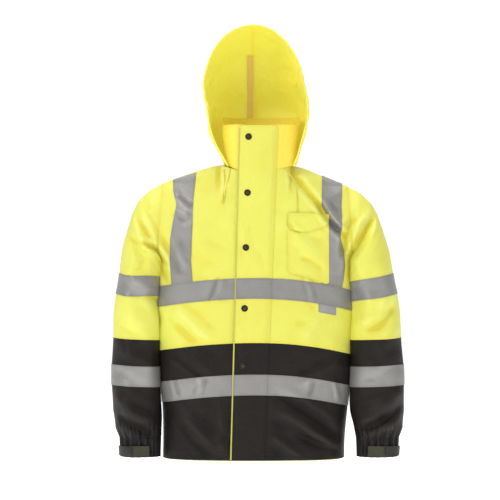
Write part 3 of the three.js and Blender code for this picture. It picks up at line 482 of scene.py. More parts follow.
def gridNormals(points, wrap=False):
    if wrap:
        along = np.roll(points, -1, 1) - np.roll(points, 1, 1)
    else:
        along = np.gradient(points, axis=1)
    return unit(np.cross(along, np.gradient(points, axis=0)))


def inset(points, distance, axis=0, fromEnd=False):
    # A line inside a grid, a distance in from one of its edges, with the cloth's direction along it
    normals = gridNormals(points)
    if axis == 1:
        points, normals = points.swapaxes(0, 1), normals.swapaxes(0, 1)
    if fromEnd:
        points, normals = points[::-1], normals[::-1]
    reach = arcs(points, 0)
    index = (reach < distance).sum(0) - 1
    index = np.clip(index, 0, len(points) - 2)
    column = np.arange(points.shape[1])
    span = np.maximum(reach[index + 1, column] - reach[index, column], 1e-6)
    share = np.clip((distance - reach[index, column]) / span, 0, 1)[:, None]
    line = lerp(points[index, column], points[index + 1, column], share)
    return line, normals[index, column]


def outwardOf(line, normal, centre):
    away = line - np.array([centre[0], centre[1], 0])
    away[:, 2] = 0
    flip = (normal * away).sum(-1, keepdims=True) < 0
    return np.where(flip, -normal, normal)


def awayFrom(line, normal, centre):
    flip = (normal * (line - np.array(centre))).sum(-1, keepdims=True) < 0
    return np.where(flip, -normal, normal)


def sewAlong(key, points, edges, centre, skip=0, turn=outwardOf):
    # Stitches along a grid's edges: each is a distance in, the grid's axis and whether it's the far edge
    for distance, axis, fromEnd in edges:
        line, normal = inset(points, distance, axis, fromEnd)
        kept = slice(skip, len(line) - skip)
        addStitches(key, line[kept], turn(line, normal, centre)[kept])


def drawIn(points, pull):
    # Draws each row's ends in by its pull
    across = arcs(points, 1)
    total = across[:, -1:]
    target = lerp(pull[:, None], total - pull[:, None], across / total)
    for row in range(len(points)):
        for k in range(3):
            points[row, :, k] = np.interp(target[row], across[row], points[row, :, k])
    return points


def cornerPull(radius, fromEnd):
    return radius - np.sqrt(np.maximum(0, radius**2 - np.maximum(0, radius - fromEnd) ** 2))


def trimCorners(points, radius):
    # Rounds a patch's four corners
    down = arcs(points, 0)
    return drawIn(points, cornerPull(radius, np.minimum(down, down[-1] - down).mean(1)))


def trimLow(points, radius):
    # Rounds the two lower corners
    return drawIn(points, cornerPull(radius, arcs(points, 0).mean(1)))


# Finishes


def nodeGroup(name, inputs, outputs):
    group = bpy.data.node_groups.new(name, "ShaderNodeTree")
    for label, kind, value in inputs:
        socket = group.interface.new_socket(name=label, in_out="INPUT", socket_type=kind)
        if value is not None:
            socket.default_value = value
    for label, kind in outputs:
        group.interface.new_socket(name=label, in_out="OUTPUT", socket_type=kind)
    return group, group.nodes.new("NodeGroupInput").outputs, group.nodes.new("NodeGroupOutput").inputs


def node(tree, kind, inputs=None, **values):
    made = tree.nodes.new("ShaderNode" + kind)
    for key, value in values.items():
        setattr(made, key, value)
    for key, value in (inputs or {}).items():
        if isinstance(value, bpy.types.NodeSocket):
            tree.links.new(value, made.inputs[key])
        else:
            made.inputs[key].default_value = value
    return made


def maths(tree, operation, a, b=0.5, c=None):
    return node(tree, "Math", {0: a, 1: b} if c is None else {0: a, 1: b, 2: c}, operation=operation).outputs[0]


def mixColour(tree, share, a, b, blend="MIX"):
    made = node(tree, "Mix", {0: share, 6: a, 7: b}, data_type="RGBA", blend_type=blend)
    return made.outputs[2]


def smoothRange(tree, value, start, end, most=1.0):
    made = node(tree, "MapRange", {0: value, 1: start, 2: end, 3: 0.0, 4: most}, interpolation_type="SMOOTHSTEP")
    return made.outputs[0]


def makeWeaveGroup():
    # A plain weave on the cloth's own map: height of the threads and a mask of the gaps
    group, given, result = nodeGroup("plainWeave",
                                     [("Map", "NodeSocketVector", None), ("Threads", "NodeSocketFloat", 900.0)],
                                     [("Height", "NodeSocketFloat"), ("Gap", "NodeSocketFloat")])
    scaled = node(group, "VectorMath", {0: given["Map"]}, operation="SCALE")
    group.links.new(given["Threads"], scaled.inputs["Scale"])
    parts = node(group, "SeparateXYZ", {0: scaled.outputs[0]})
    turn = 2 * math.pi
    u = maths(group, "SINE", maths(group, "MULTIPLY", parts.outputs[0], turn))
    v = maths(group, "SINE", maths(group, "MULTIPLY", parts.outputs[1], turn))
    over = maths(group, "MULTIPLY", u, v)
    height = maths(group, "MULTIPLY_ADD", over, 0.5, 0.5)
    gap = maths(group, "POWER", maths(group, "SUBTRACT", 1.0, height), 4.0)
    group.links.new(height, result["Height"])
    group.links.new(gap, result["Gap"])
    return group


def makeCrumpleGroup():
    # Small creases and soft dents of a packed-away waterproof cloth
    group, given, result = nodeGroup("crumple",
                                     [("Place", "NodeSocketVector", None), ("Size", "NodeSocketFloat", 14.0)],
                                     [("Height", "NodeSocketFloat"), ("Crease", "NodeSocketFloat"),
                                      ("Patch", "NodeSocketFloat")])
    soft = node(group, "TexNoise", {"Vector": given["Place"], "Scale": given["Size"], "Detail": 4.0, "Roughness": 0.55})
    warp = node(group, "VectorMath", {0: soft.outputs["Color"], 1: (0.05, 0.05, 0.05), 2: given["Place"]},
                operation="MULTIPLY_ADD")
    spots = node(group, "TexVoronoi", {"Vector": warp.outputs[0], "Scale": 30.0}, feature="DISTANCE_TO_EDGE")
    flat = smoothRange(group, spots.outputs[0], 0.0, 0.09)
    crease = maths(group, "SUBTRACT", 1.0, flat)
    patch = node(group, "TexNoise", {"Vector": given["Place"], "Scale": 5.0, "Detail": 3.0, "Roughness": 0.6})
    high = maths(group, "ADD", soft.outputs[0], maths(group, "MULTIPLY", crease, 0.28))
    group.links.new(high, result["Height"])
    group.links.new(crease, result["Crease"])
    group.links.new(patch.outputs[0], result["Patch"])
    return group


def makeTintGroup():
    # Changes a base colour by dye patches and rubbed creases, with painted shade along the seams and in the folds'
    # valleys, and a painted highlight on the folds' crests
    group, given, result = nodeGroup("tint", [("Base", "NodeSocketColor", None), ("Deep", "NodeSocketColor", None),
                                              ("Worn", "NodeSocketColor", None), ("Patch", "NodeSocketFloat", 0.5),
                                              ("Crease", "NodeSocketFloat", 0.0), ("Border", "NodeSocketFloat", 0.0),
                                              ("Hollow", "NodeSocketFloat", 0.0)],
                                     [("Color", "NodeSocketColor")])
    share = node(group, "MapRange", {0: given["Patch"], 1: 0.35, 2: 0.7, 3: 0.0, 4: 0.45}).outputs[0]
    patched = mixColour(group, share, given["Base"], given["Deep"])
    creased = mixColour(group, maths(group, "MULTIPLY", given["Crease"], 0.07), patched, given["Worn"])
    # painted shade along the seams: the deep colour is mixed in where the border map is high
    seamShaded = mixColour(group, maths(group, "MULTIPLY", given["Border"], 0.42), creased, given["Deep"])
    # painted shade in the folds' valleys, where the hollow map is over 0, and a painted highlight on their crests,
    # where it is below 0
    low = smoothRange(group, given["Hollow"], 0.0, 1.5, 0.8)
    high = smoothRange(group, given["Hollow"], -0.5, -2.2, 0.45)
    valleyShaded = mixColour(group, low, seamShaded, given["Deep"])
    group.links.new(mixColour(group, high, valleyShaded, given["Worn"]), result["Color"])
    return group


weaveGroup, crumpleGroup, tintGroup = makeWeaveGroup(), makeCrumpleGroup(), makeTintGroup()


def clothFinish(name, base, deep, wornAndLit, roughness=0.5, threads=620.0, weaveDepth=0.00012, crumpleDepth=0.0012,
                crumpleSize=16.0, sheen=0.25, coat=0.0, fuzz=0.0, metallic=0.0, beads=False, glow=0.0, specular=0.3):
    material = bpy.data.materials.new(name)
    material.use_nodes = True
    tree = material.node_tree
    shader = tree.nodes["Principled BSDF"]
    place = node(tree, "TexCoord").outputs
    weave = node(tree, "Group", {}, node_tree=weaveGroup)
    tree.links.new(node(tree, "UVMap", {}, uv_map="weave").outputs[0], weave.inputs["Map"])
    weave.inputs["Threads"].default_value = threads
    crumple = node(tree, "Group", {}, node_tree=crumpleGroup)
    tree.links.new(place["Object"], crumple.inputs["Place"])
    crumple.inputs["Size"].default_value = crumpleSize
    tint = node(tree, "Group", {}, node_tree=tintGroup)
    # The deep colour paints the dye patches and also painted shade in the seams, folds and thread gaps; the light worn
    # colour paints the rubbed creases and also a painted highlight on the folds' crests
    for label, value in (("Base", base), ("Deep", deep), ("Worn", wornAndLit)):
        tint.inputs[label].default_value = (*value, 1)
    tree.links.new(crumple.outputs["Patch"], tint.inputs["Patch"])
    tree.links.new(crumple.outputs["Crease"], tint.inputs["Crease"])
    tree.links.new(node(tree, "Attribute", {}, attribute_name="border").outputs["Fac"], tint.inputs["Border"])
    tree.links.new(node(tree, "Attribute", {}, attribute_name="hollow").outputs["Fac"], tint.inputs["Hollow"])
    # painted shade in the gaps between the threads: the colour is mixed towards the deep colour there
    shade = mixColour(tree, maths(tree, "MULTIPLY", weave.outputs["Gap"], 0.3), tint.outputs[0], (*deep, 1))
    tree.links.new(shade, shader.inputs["Base Color"])
    # emission in the cloth's own colour: painted light that brightens the cloth and lifts its shade, though the cloth
    # is no lamp
    if glow:
        tree.links.new(shade, shader.inputs["Emission Color"])
        shader.inputs["Emission Strength"].default_value = glow
    rough = maths(tree, "MULTIPLY_ADD", crumple.outputs["Patch"], 0.22, roughness - 0.11)
    tree.links.new(rough, shader.inputs["Roughness"])
    low = node(tree, "Bump", {"Height": crumple.outputs["Height"], "Distance": crumpleDepth, "Strength": 0.55})
    fine = node(tree, "Bump",
                {"Height": weave.outputs["Height"], "Distance": weaveDepth, "Strength": 0.6, "Normal": low.outputs[0]})
    normal = fine.outputs[0]
    if beads:
        dots = node(tree, "TexVoronoi", {"Vector": place["Object"], "Scale": 900.0}).outputs["Distance"]
        made = node(tree, "Bump", {"Height": dots, "Distance": 0.0002, "Strength": 0.5, "Normal": normal})
        normal = made.outputs[0]
    if fuzz:
        hair = node(tree, "TexNoise", {"Vector": place["Object"], "Scale": 700.0, "Detail": 3.0}).outputs[0]
        made = node(tree, "Bump", {"Height": hair, "Distance": fuzz, "Strength": 0.9, "Normal": normal})
        normal = made.outputs[0]
    tree.links.new(normal, shader.inputs["Normal"])
    shader.inputs["Sheen Weight"].default_value = sheen
    shader.inputs["Sheen Roughness"].default_value = 0.45
    shader.inputs["Coat Weight"].default_value = coat
    shader.inputs["Metallic"].default_value = metallic
    shader.inputs["Specular IOR Level"].default_value = specular
    return material


def hardFinish(name, base, deep, metallic, roughness, grain=0.0002, scale=220.0):
    material = bpy.data.materials.new(name)
    material.use_nodes = True
    tree = material.node_tree
    shader = tree.nodes["Principled BSDF"]
    place = node(tree, "TexCoord").outputs["Object"]
    wear = node(tree, "TexNoise", {"Vector": place, "Scale": scale, "Detail": 5.0, "Roughness": 0.65})
    scratch = node(tree, "TexNoise", {"Vector": place, "Scale": scale * 6, "Detail": 2.0, "Distortion": 1.5})
    share = node(tree, "MapRange", {0: wear.outputs[0], 1: 0.4, 2: 0.62}).outputs[0]
    tree.links.new(mixColour(tree, share, (*base, 1), (*deep, 1)), shader.inputs["Base Color"])
    tree.links.new(maths(tree, "MULTIPLY_ADD", wear.outputs[0], 0.3, roughness - 0.15), shader.inputs["Roughness"])
    bump = node(tree, "Bump", {"Height": scratch.outputs[0], "Distance": grain, "Strength": 0.4})
    tree.links.new(bump.outputs[0], shader.inputs["Normal"])
    shader.inputs["Metallic"].default_value = metallic
    return material


finishes = {
    # glow is painted light: an emission that brightens each cloth and lifts its shade
    "lime": clothFinish("limeCloth", (0.68, 0.69, 0.12), (0.62, 0.52, 0.035), (0.74, 0.76, 0.24), 0.5,
                        crumpleDepth=0.0014, sheen=0.05, glow=0.1),
    # the hood's cloth is the same lime cloth, painted lighter and with a stronger glow: painted light lifting the shade
    # inside the hood
    "hood": clothFinish("hoodCloth", (0.76, 0.735, 0.105), (0.7, 0.56, 0.03), (0.8, 0.8, 0.2), 0.5, crumpleDepth=0.0018,
                        crumpleSize=20.0, sheen=0.05, glow=0.24),
    # the collar's cloth is the same lime cloth, painted orange-gold: painted shade and bounce light from the hood
    # around it
    "collar": clothFinish("collarCloth", (0.78, 0.68, 0.09), (0.76, 0.5, 0.03), (0.8, 0.74, 0.16), 0.5,
                          crumpleDepth=0.0014, sheen=0.05, glow=0.16),
    "facing": clothFinish("facingCloth", (0.56, 0.56, 0.11), (0.42, 0.38, 0.05), (0.64, 0.64, 0.2), 0.55, sheen=0.1,
                          glow=0.03),
    "black": clothFinish("blackCloth", (0.0165, 0.0135, 0.0118), (0.006, 0.005, 0.0045), (0.036, 0.031, 0.028), 0.5,
                         crumpleDepth=0.0018, sheen=0.0, specular=0.16),
    "tape": clothFinish("silverTape", (0.31, 0.305, 0.295), (0.2, 0.19, 0.18), (0.4, 0.39, 0.37), 0.42, threads=900.0,
                        crumpleDepth=0.0012, sheen=0.1, metallic=0.35, beads=True),
    "label": clothFinish("greyLabel", (0.34, 0.34, 0.33), (0.22, 0.22, 0.21), (0.44, 0.44, 0.43), 0.4, threads=900.0,
                         sheen=0.1, beads=True),
    "grip": clothFinish("hookAndLoop", (0.05, 0.052, 0.028), (0.035, 0.035, 0.02), (0.13, 0.13, 0.08), 0.8,
                        threads=420.0, weaveDepth=0.0003, fuzz=0.0006),
    "seam": clothFinish("seamTape", (0.7, 0.5, 0.14), (0.58, 0.4, 0.08), (0.78, 0.6, 0.22), 0.35, sheen=0.1, coat=0.2,
                        glow=0.2),
    "strap": clothFinish("hookStrap", (0.02, 0.018, 0.016), (0.008, 0.007, 0.007), (0.05, 0.045, 0.04), 0.7,
                         threads=420.0, weaveDepth=0.0003, fuzz=0.0004),
    "loop": clothFinish("loopTape", (0.05, 0.048, 0.045), (0.02, 0.02, 0.018), (0.1, 0.1, 0.09), 0.65, threads=500.0,
                        weaveDepth=0.0003),
    "zipTape": clothFinish("zipTape", (0.04, 0.038, 0.03), (0.02, 0.02, 0.018), (0.08, 0.08, 0.07), 0.7, threads=800.0,
                           weaveDepth=0.0002),
    "limeThread": hardFinish("limeThread", (0.8, 0.72, 0.1), (0.66, 0.54, 0.05), 0.0, 0.6, scale=900.0),
    "blackThread": hardFinish("blackThread", (0.05, 0.047, 0.044), (0.02, 0.02, 0.02), 0.0, 0.6, scale=900.0),
    "greyThread": hardFinish("greyThread", (0.18, 0.18, 0.17), (0.1, 0.1, 0.09), 0.0, 0.55, scale=900.0),
    "cord": hardFinish("cordBraid", (0.78, 0.72, 0.1), (0.55, 0.42, 0.03), 0.0, 0.7, 0.0006, 1400.0),
    "snap": hardFinish("snapMetal", (0.1, 0.085, 0.07), (0.05, 0.04, 0.03), 0.85, 0.42),
    "snapDark": hardFinish("snapRing", (0.03, 0.02, 0.01), (0.015, 0.011, 0.007), 0.6, 0.45),
    "zip": hardFinish("zipMetal", (0.16, 0.15, 0.12), (0.08, 0.075, 0.06), 0.85, 0.36),
}
print("finishes made")

# Drawcords of the hood, hanging free down the chest

cordCut = {"radius": 1.25,
           "right": [(-78, -75, 722), (-77, -76.8, 713), (-75.7, -79.2, 700), (-76.5, -82, 680), (-79.3, -85.2, 655),
                     (-81, -87, 640)],
           "left": [(78, -76, 722), (86, -75, 710), (95, -73, 697), (101.5, -75, 680), (104.5, -80.4, 655),
                    (105.2, -86.6, 622)]}


def smoothRoute(points, count=60):
    points = np.array(points, float)
    reach = np.concatenate([[0], np.cumsum(np.linalg.norm(np.diff(points, axis=0), axis=1))])
    tangent = np.gradient(points, reach, axis=0)
    out = []
    for s in np.linspace(0, reach[-1], count):
        i = min(np.searchsorted(reach, s, side="right") - 1, len(points) - 2)
        h = reach[i + 1] - reach[i]
        t = (s - reach[i]) / h
        out.append((2 * t**3 - 3 * t**2 + 1) * points[i] + (t**3 - 2 * t**2 + t) * h * tangent[i]
                   + (3 * t**2 - 2 * t**3) * points[i + 1] + (t**3 - t**2) * h * tangent[i + 1])
    return np.array(out)


def tubeMesh(name, line, radius, sides=12):
    line = np.asarray(line, float)
    along = unit(np.gradient(line, axis=0))
    first = unit(np.cross(along, np.array([0.0, 1.0, 0.02])))
    second = np.cross(along, first)
    angle = np.linspace(0, 2 * math.pi, sides, endpoint=False)
    ring = first[:, None] * np.cos(angle)[None, :, None] + second[:, None] * np.sin(angle)[None, :, None]
    twist = 1 + 0.1 * np.cos(4 * angle[None, :] + np.arange(len(line))[:, None] * 1.7)
    points = line[:, None] + ring * (radius * twist)[..., None]
    count = len(line)
    faces = [(r * sides + c, r * sides + (c + 1) % sides, (r + 1) * sides + (c + 1) % sides, (r + 1) * sides + c)
             for r in range(count - 1) for c in range(sides)]
    faces += [tuple(range(sides)), tuple(reversed(range((count - 1) * sides, count * sides)))]
    piece = placed(name, points.reshape(-1, 3), faces)
    facesOut(piece.data)
    shadeSmooth(piece, 60)
    return piece


def makeBead(name, spot, scale, finish):
    bpy.ops.mesh.primitive_ico_sphere_add(subdivisions=3, radius=1, location=(0, 0, 0))
    piece = bpy.context.active_object
    piece.name = piece.data.name = name
    centre = toRow(spot)
    for vertex in piece.data.vertices:
        co = vertex.co
        bumpy = 1 + 0.12 * math.sin(5 * co.x + 4 * co.z) * math.cos(6 * co.y)
        vertex.co = [centre[k] + co[k] * scale[k] / 1000 * bumpy for k in range(3)]
    shadeSmooth(piece, 180)
    piece.data.materials.append(finishes[finish])
    return piece


def makeDrawcord(side):
    route = smoothRoute(cordCut[side])
    cord = tubeMesh(f"drawcord_braid_{side}", route, cordCut["radius"])
    cord.data.materials.append(finishes["cord"])
    end = route[-1]
    knot = makeBead(f"drawcord_knot_{side}", end - np.array([0, 0, 2.0]), (3.2, 2.5, 3.6), "cord")
    join(knot, "jacket", ())
    join(cord, "jacket", [f"drawcord_{side}"])


makeDrawcord("right")
makeDrawcord("left")

strandRoute = smoothRoute([(-62, -80.2, 722), (-63.5, -80.8, 711), (-67, -82.4, 695), (-71.5, -84.4, 675),
                           (-75.4, -87, 655), (-78.0, -89.2, 642)])
strand = tubeMesh("drawcord_strand", strandRoute, cordCut["radius"])
strand.data.materials.append(finishes["cord"])
join(strand, "jacket", ())
print("cords laid")

# Sleeves

sleeveRings = [(232, 688, 246, 462, 72, 0, 1), (262, 671, 247.4, 458, 74, 0, 0.6), (290, 645, 248, 454.5, 77, 0, 0.3),
               (309, 613, 248.6, 451.5, 80, 0, 0), (321, 577, 249.2, 448.5, 82, 0, 0), (332, 525, 249.7, 445, 84, 0, 0),
               (341, 463, 250, 441, 84, 0, 0), (350, 412, 250, 391, 82, -1, 0), (355, 360, 250, 344, 81, -4, 0),
               (359, 302, 250, 296, 80, -9, 0), (363, 236, 250, 230, 78, -15, 0), (365, 185, 250, 179, 75, -19, 0),
               (366, 120, 251, 118, 70, -23, 0), (361, 76, 254, 76, 62, -26, 0), (349, 53, 257, 53, 54, -27, 0),
               (345, 5, 257, 5, 48, -28, 0)]
ringData = np.array(sleeveRings, float)
ringCount = 156


def sleeveGrid(side, start, end, spacing=3.6, lift=0.0, angles=None):
    # Rows of a sleeve from one ring number to another, turning from the outer edge to the front
    angle = np.linspace(0, 2 * math.pi, ringCount, endpoint=False) if angles is None else angles
    spans = np.linalg.norm(np.diff(ringData[:, :2], axis=0), axis=1)
    reach = np.concatenate([[0], np.cumsum(spans)])
    first, last = np.interp([start, end], np.arange(16), reach)
    along = np.linspace(first, last, max(3, int((last - first) / spacing) + 1))
    numbers = np.interp(along, reach, np.arange(16))
    ox, oz, ix, iz, depth, y, lens = [np.interp(numbers, np.arange(16), ringData[:, k])[:, None] for k in range(7)]
    cosA, sinA = np.cos(angle)[None], np.sin(angle)[None]
    centreX, centreZ, halfX, halfZ = (ox + ix) / 2, (oz + iz) / 2, (ox - ix) / 2, (oz - iz) / 2
    curve = lerp(sinA, np.sign(sinA) * np.sin(math.pi * (1 + cosA) / 2), lens)
    points = np.stack([side * (centreX + halfX * cosA), y - depth * curve, centreZ + halfZ * cosA], -1)
    gather = 2.6 * smooth((numbers[:, None] - 12.6) / 1.6) * np.sin(17 * angle[None] + 1.5 * np.sin(3 * angle[None]))
    gather = gather + 1.2 * smooth((numbers[:, None] - 12.2) / 1.2) * np.sin(31 * angle[None])
    centre = np.stack([side * centreX, y, centreZ], -1)
    outward = unit((points - centre) * [1, 1, 0.15])
    seat = lift - 0.9 * (1 - smooth((numbers[:, None] - 0.1) / 0.8))
    return points + outward * (seat + gather)[..., None], numbers


def sleeveCentre(side, numbers):
    middle = np.interp(numbers.mean(), np.arange(16), (ringData[:, 0] + ringData[:, 2]) / 2)
    return (side * middle, np.interp(numbers.mean(), np.arange(16), ringData[:, 5]), None)


def makeSleeve(side, word):
    body = f"sleeve_{word}"
    sleeveSpan = {"start": tuple(toRow((side * 246, 0, 462))), "end": tuple(toRow((side * 285, 0, 318)))}
    blends[f"{body}_shoulder"] = ("jacket", body, sleeveSpan["start"], sleeveSpan["end"])
    shoulder = f"{body}_shoulder"
    for name, start, end, on, finish, lift in (("upper", 0, 9, shoulder, "lime", 0), ("lower", 9, 14, body, "black", 0),
                                               ("tape_upper", 6, 7, shoulder, "tape", 1.5), ("tape_lower", 10, 11, body,
                                                                                             "tape", 1.5)):
        points, numbers = sleeveGrid(side, start, end, lift=lift)
        points = settle(points)
        centre = sleeveCentre(side, numbers)
        tape = "tape" in name
        nodeName = f"{body}_{name}"
        grid = np.concatenate([points, points[:, :1]], 1)
        cloth(nodeName, points, on, finish, [nodeName], centre, wrap=True,
              thick=bandCut["thick"] if tape else wallThick,
              flat={"upper": "back_upper", "lower": f"sleeve_{word}_upper"}.get(name))
        thread = {"lime": "limeThread", "black": "blackThread", "tape": "greyThread"}[finish]
        if tape:
            edges = [(2.5, 0, False), (2.5, 0, True)]
        elif name == "upper":
            edges = [(5, 0, False), (9, 0, False), (3, 0, True)]
        else:
            edges = [(3, 0, False), (5, 0, True)]
        sewAlong(nodeName, grid, edges, centre)
        sew(nodeName, f"{nodeName}_stitch", on, thread)
    points, numbers = sleeveGrid(side, 14, 15, spacing=2.2)
    points = settle(points)
    centre = sleeveCentre(side, numbers)
    cloth(f"cuff_{word}", points, body, "black", [f"cuff_{word}"], centre, wrap=True, flat=f"sleeve_{word}_lower")
    grid = np.concatenate([points, points[:, :1]], 1)
    sewAlong("cuff", grid, [(3, 0, False), (4, 0, True), (9, 0, True), (40, 0, False), (22, 0, False)], centre)
    sew("cuff", f"cuff_{word}_stitch", body, "blackThread")


fasteningCut = {"patch": {"low": 7, "high": 34, "turn": (60, 120), "lift": 5.0, "thick": 0.6, "finish": "grip"},
                "strap": {"low": 8, "high": 33, "turn": (15, 75), "lift": 7.0, "thick": 1.4, "finish": "strap"}}


def makeCuffFastening(side, word):
    # The loop patch sewn on the cuff's front and the strap that closes over it
    for name, body, cut in ((f"cuff_{word}_loop_patch", f"sleeve_{word}", fasteningCut["patch"]),
                            (f"cuff_{word}_strap", f"cuff_strap_{word}", fasteningCut["strap"])):
        angles = np.radians(np.linspace(*cut["turn"], 40))
        first = np.interp(cut["high"], [5, 53], [15, 14])
        last = np.interp(cut["low"], [5, 53], [15, 14])
        points, numbers = sleeveGrid(side, first, last, spacing=1.6, angles=angles)
        middle = sleeveCentre(side, numbers)
        # the strap lies flat over the gathers
        plain = smoothRows(points)
        away = unit((plain - np.array([middle[0], middle[1], 0])) * [1, 1, 0])
        points = settle(plain + away * cut["lift"])
        trimCorners(points, 4)
        cloth(name, points, body, cut["finish"], [name], middle, thick=cut["thick"])
        sewAlong("grip", points, [(2, 0, False), (2, 0, True), (2, 1, False), (2, 1, True)], middle)
        sew("grip", f"{name}_stitch", body, "blackThread")


def smoothRows(points):
    # Takes the gathers out of a patch's rows, leaving their bow
    t = np.linspace(-1, 1, points.shape[1])
    out = np.empty_like(points)
    for row in range(len(points)):
        for k in range(3):
            out[row, :, k] = np.polyval(np.polyfit(t, points[row, :, k], 3), t)
    return out


for side, word in ((-1, "right"), (1, "left")):
    makeSleeve(side, word)
    makeCuffFastening(side, word)
print("sleeves made")

# Body panels


def panelColumns(face, side, z, edge, count):
    # Places across a panel from its front edge, or its other side seam, to the side seam
    half = halfWidth(z)
    t = np.linspace(0, 1, count)[None]
    if face == "back":
        return half * np.sin(math.pi / 2 * (2 * t - 1))
    return edge + (side * half - edge) * np.sin(math.pi / 2 * t)


def bodyGrid(face, heights, columns, lift=0.0, arch=True):
    # A grid of body cloth: heights is a list of heights, columns gives the places across at each height
    z = np.asarray(heights, float)[:, None] if np.ndim(heights) == 1 else heights
    x = columns(z)
    z = np.broadcast_to(z, x.shape)
    if arch:
        z = archedHeight(z, x)
        x = np.clip(x, -halfWidth(z), halfWidth(z))
    point, normal = skin(face, x, z)
    return settle(lifted(point, normal, np.broadcast_to(lift, x.shape))), normal


def shoulderHeights(face, columns, bottom, count):
    # Rows rising from a level line to the shoulder, closer together at the top
    t = steps(count, 1.7)[:, None]
    z = np.full((count, 1), float(bottom))
    for _ in range(4):
        x = columns(z)
        top = topHeight(face, np.clip(x, -halfWidth(z), halfWidth(z))) - 0.05
        z = bottom + (top - bottom) * t
    return z


def makePanel(face, side, word):
    tag = f"{face}_{word}" if face == "front" else "back"
    edge = (lambda z: (zipX(z) + side * 1.6)) if face == "front" else (lambda z: 0)
    count = 92 if face == "front" else 150
    columns = lambda z: panelColumns(face, side, z, edge(z), count)
    nearZip = (lambda p: -1.2 * (1 - smooth((np.abs(p) - 2) / 14))) if face == "front" else (lambda p: 0 * p)
    centre = (0, 0, None)

    def liftFor(z):
        x = columns(z)
        return nearZip(x - edge(z))

    heights = np.linspace(2, bandCut["seam"], 82)
    lower, _ = bodyGrid(face, heights, columns, liftFor(heights[:, None]))
    cloth(f"{tag}_lower", lower, "jacket", "black", [f"{tag}_lower"], centre, flat=f"{tag}_upper")
    high = shoulderHeights(face, columns, bandCut["seam"], 118)
    upper, _ = bodyGrid(face, high, columns, liftFor(high))
    cloth(f"{tag}_upper", upper, "jacket", "lime", [f"{tag}_upper"], centre, flat="collar")
    sewAlong("bodyLime", upper, [(3, 0, False)], centre)
    sewAlong("bodyBlack", lower, [(3, 0, True), (14, 0, False), (18, 0, False)], centre)
    if face == "back":
        # the back laps the front along the shoulder with two rows of stitching
        for distance in (5, 10):
            line, normal = inset(upper, distance, 0, True)
            for part in (line[:, 0] > 92, line[:, 0] < -92):
                addStitches("bodyLime", line[part], outwardOf(line[part], normal[part], centre))
    for key, bottom in (("waist_tape", bandCut["waist"]), ("chest_tape", bandCut["chest"])):
        rows = np.linspace(bottom, bottom + bandCut["width"], 18)
        tapeColumns = columns
        if face == "front" and side > 0:
            tapeColumns = lambda z: panelColumns(face, side, z, sewnX(z) - 3, 76)
        elif face == "front":
            tapeColumns = lambda z: panelColumns(face, side, z, zipX(z) - 20, 76)
        tape, _ = bodyGrid(face, rows, tapeColumns, bandCut["lift"] + bandCut["thick"])
        nodeName = f"{key}_{word}" if face == "front" else f"{key}_back"
        cloth(nodeName, tape, "jacket", "tape", [nodeName], centre, thick=bandCut["thick"])
        sewAlong("bodyGrey", tape, [(2.5, 0, False), (2.5, 0, True)], centre)


for face, side, word in (("front", -1, "right"), ("front", 1, "left"), ("back", 1, "back")):
    makePanel(face, side, word)

bracePlace = {"bottom": 451.4, "rows": 96}
# height, inner edge, outer edge
braceEdges = {"right": [(430, 154, 207), (496, 159, 212), (546, 157, 211), (590, 155, 204), (634, 154, 195),
                        (668, 151, 204), (700, 148, 206), (745, 146, 205)],
              "left": [(426, 162, 214), (460, 170, 221), (484, 175, 224), (521, 180, 221), (552, 181, 212),
                       (575, 181, 216), (612, 178, 216), (634, 165, 215), (700, 168, 219), (745, 170, 220)]}


def makeBrace(side, word):
    # A band from the chest tape over the shoulder to the back's chest tape
    edges = np.array(braceEdges[word], float)
    plain = np.linspace(161, 211, 18)[None]
    halves = []
    for face in ("front", "back"):
        t = steps(bracePlace["rows"], 1.7)[:, None]
        bottom = archedHeight(bracePlace["bottom"] - 0.4, plain)
        z = bottom + (topHeight(face, plain) - 0.05 - bottom) * t
        share = np.linspace(0, 1, 18)[None]
        x = lerp(np.interp(z, edges[:, 0], edges[:, 1]), np.interp(z, edges[:, 0], edges[:, 2]), share)
        if face == "back":
            x = lerp(plain + 0 * z, x, smooth((z - topHeight(face, x) + 60) / 60))
        x = x * side
        z = np.minimum(z, topHeight(face, x) - 0.05)
        point, normal = skin(face, x, z)
        ridge = smooth((z - topHeight(face, x) + 30) / 30)[..., None]
        normal = unit(lerp(normal, np.array([0.0, 0, 1]) + np.zeros_like(normal), ridge * 0.8))
        halves.append(settle(point + normal * (bandCut["lift"] + bandCut["thick"])))
    points = np.concatenate([halves[0], halves[1][::-1][1:]], 0)
    nodeName = f"brace_tape_{word}"
    cloth(nodeName, points, "jacket", "tape", [nodeName], (0, 0, 500), thick=bandCut["thick"])
    sewAlong("bodyGrey", points, [(2.5, 1, False), (2.5, 1, True)], (0, 0, 500), turn=awayFrom)


makeBrace(-1, "right")
makeBrace(1, "left")
print("body panels made")

# Hem facing: a narrow band just showing below the hem

hemBand = {"height": 22}


def makeHemFacing():
    angle = np.linspace(0, 2 * math.pi, 260, endpoint=False)
    rows = []
    for z in np.linspace(0, hemBand["height"], 8):
        half = halfWidth(z) - 1.6
        x = half * np.sign(np.cos(angle)) * np.abs(np.cos(angle)) ** 0.8
        x = np.clip(x, -half, half)
        full = x / half * halfWidth(z)
        y = np.where(np.sin(angle) > 0, -bodyDepth("front", full, z), bodyDepth("back", full, z))
        shrink = 1 - 2.2 / np.maximum(20, np.hypot(x, y))
        rows.append(np.stack([x * shrink, y * shrink, np.full_like(x, archedHeight(float(z), 0) + 0 * x)], -1))
    points = np.array(rows)
    points[..., 2] -= 22 * np.clip(np.abs(points[..., 0]) / 224, 0, 1) ** 2 * np.minimum(1, points[..., 2] / 160)
    cloth("hem_facing", settle(points), "jacket", "facing", ["hem_facing"], wrap=True, thick=0.8)


makeHemFacing()

# Storm flap over the zip

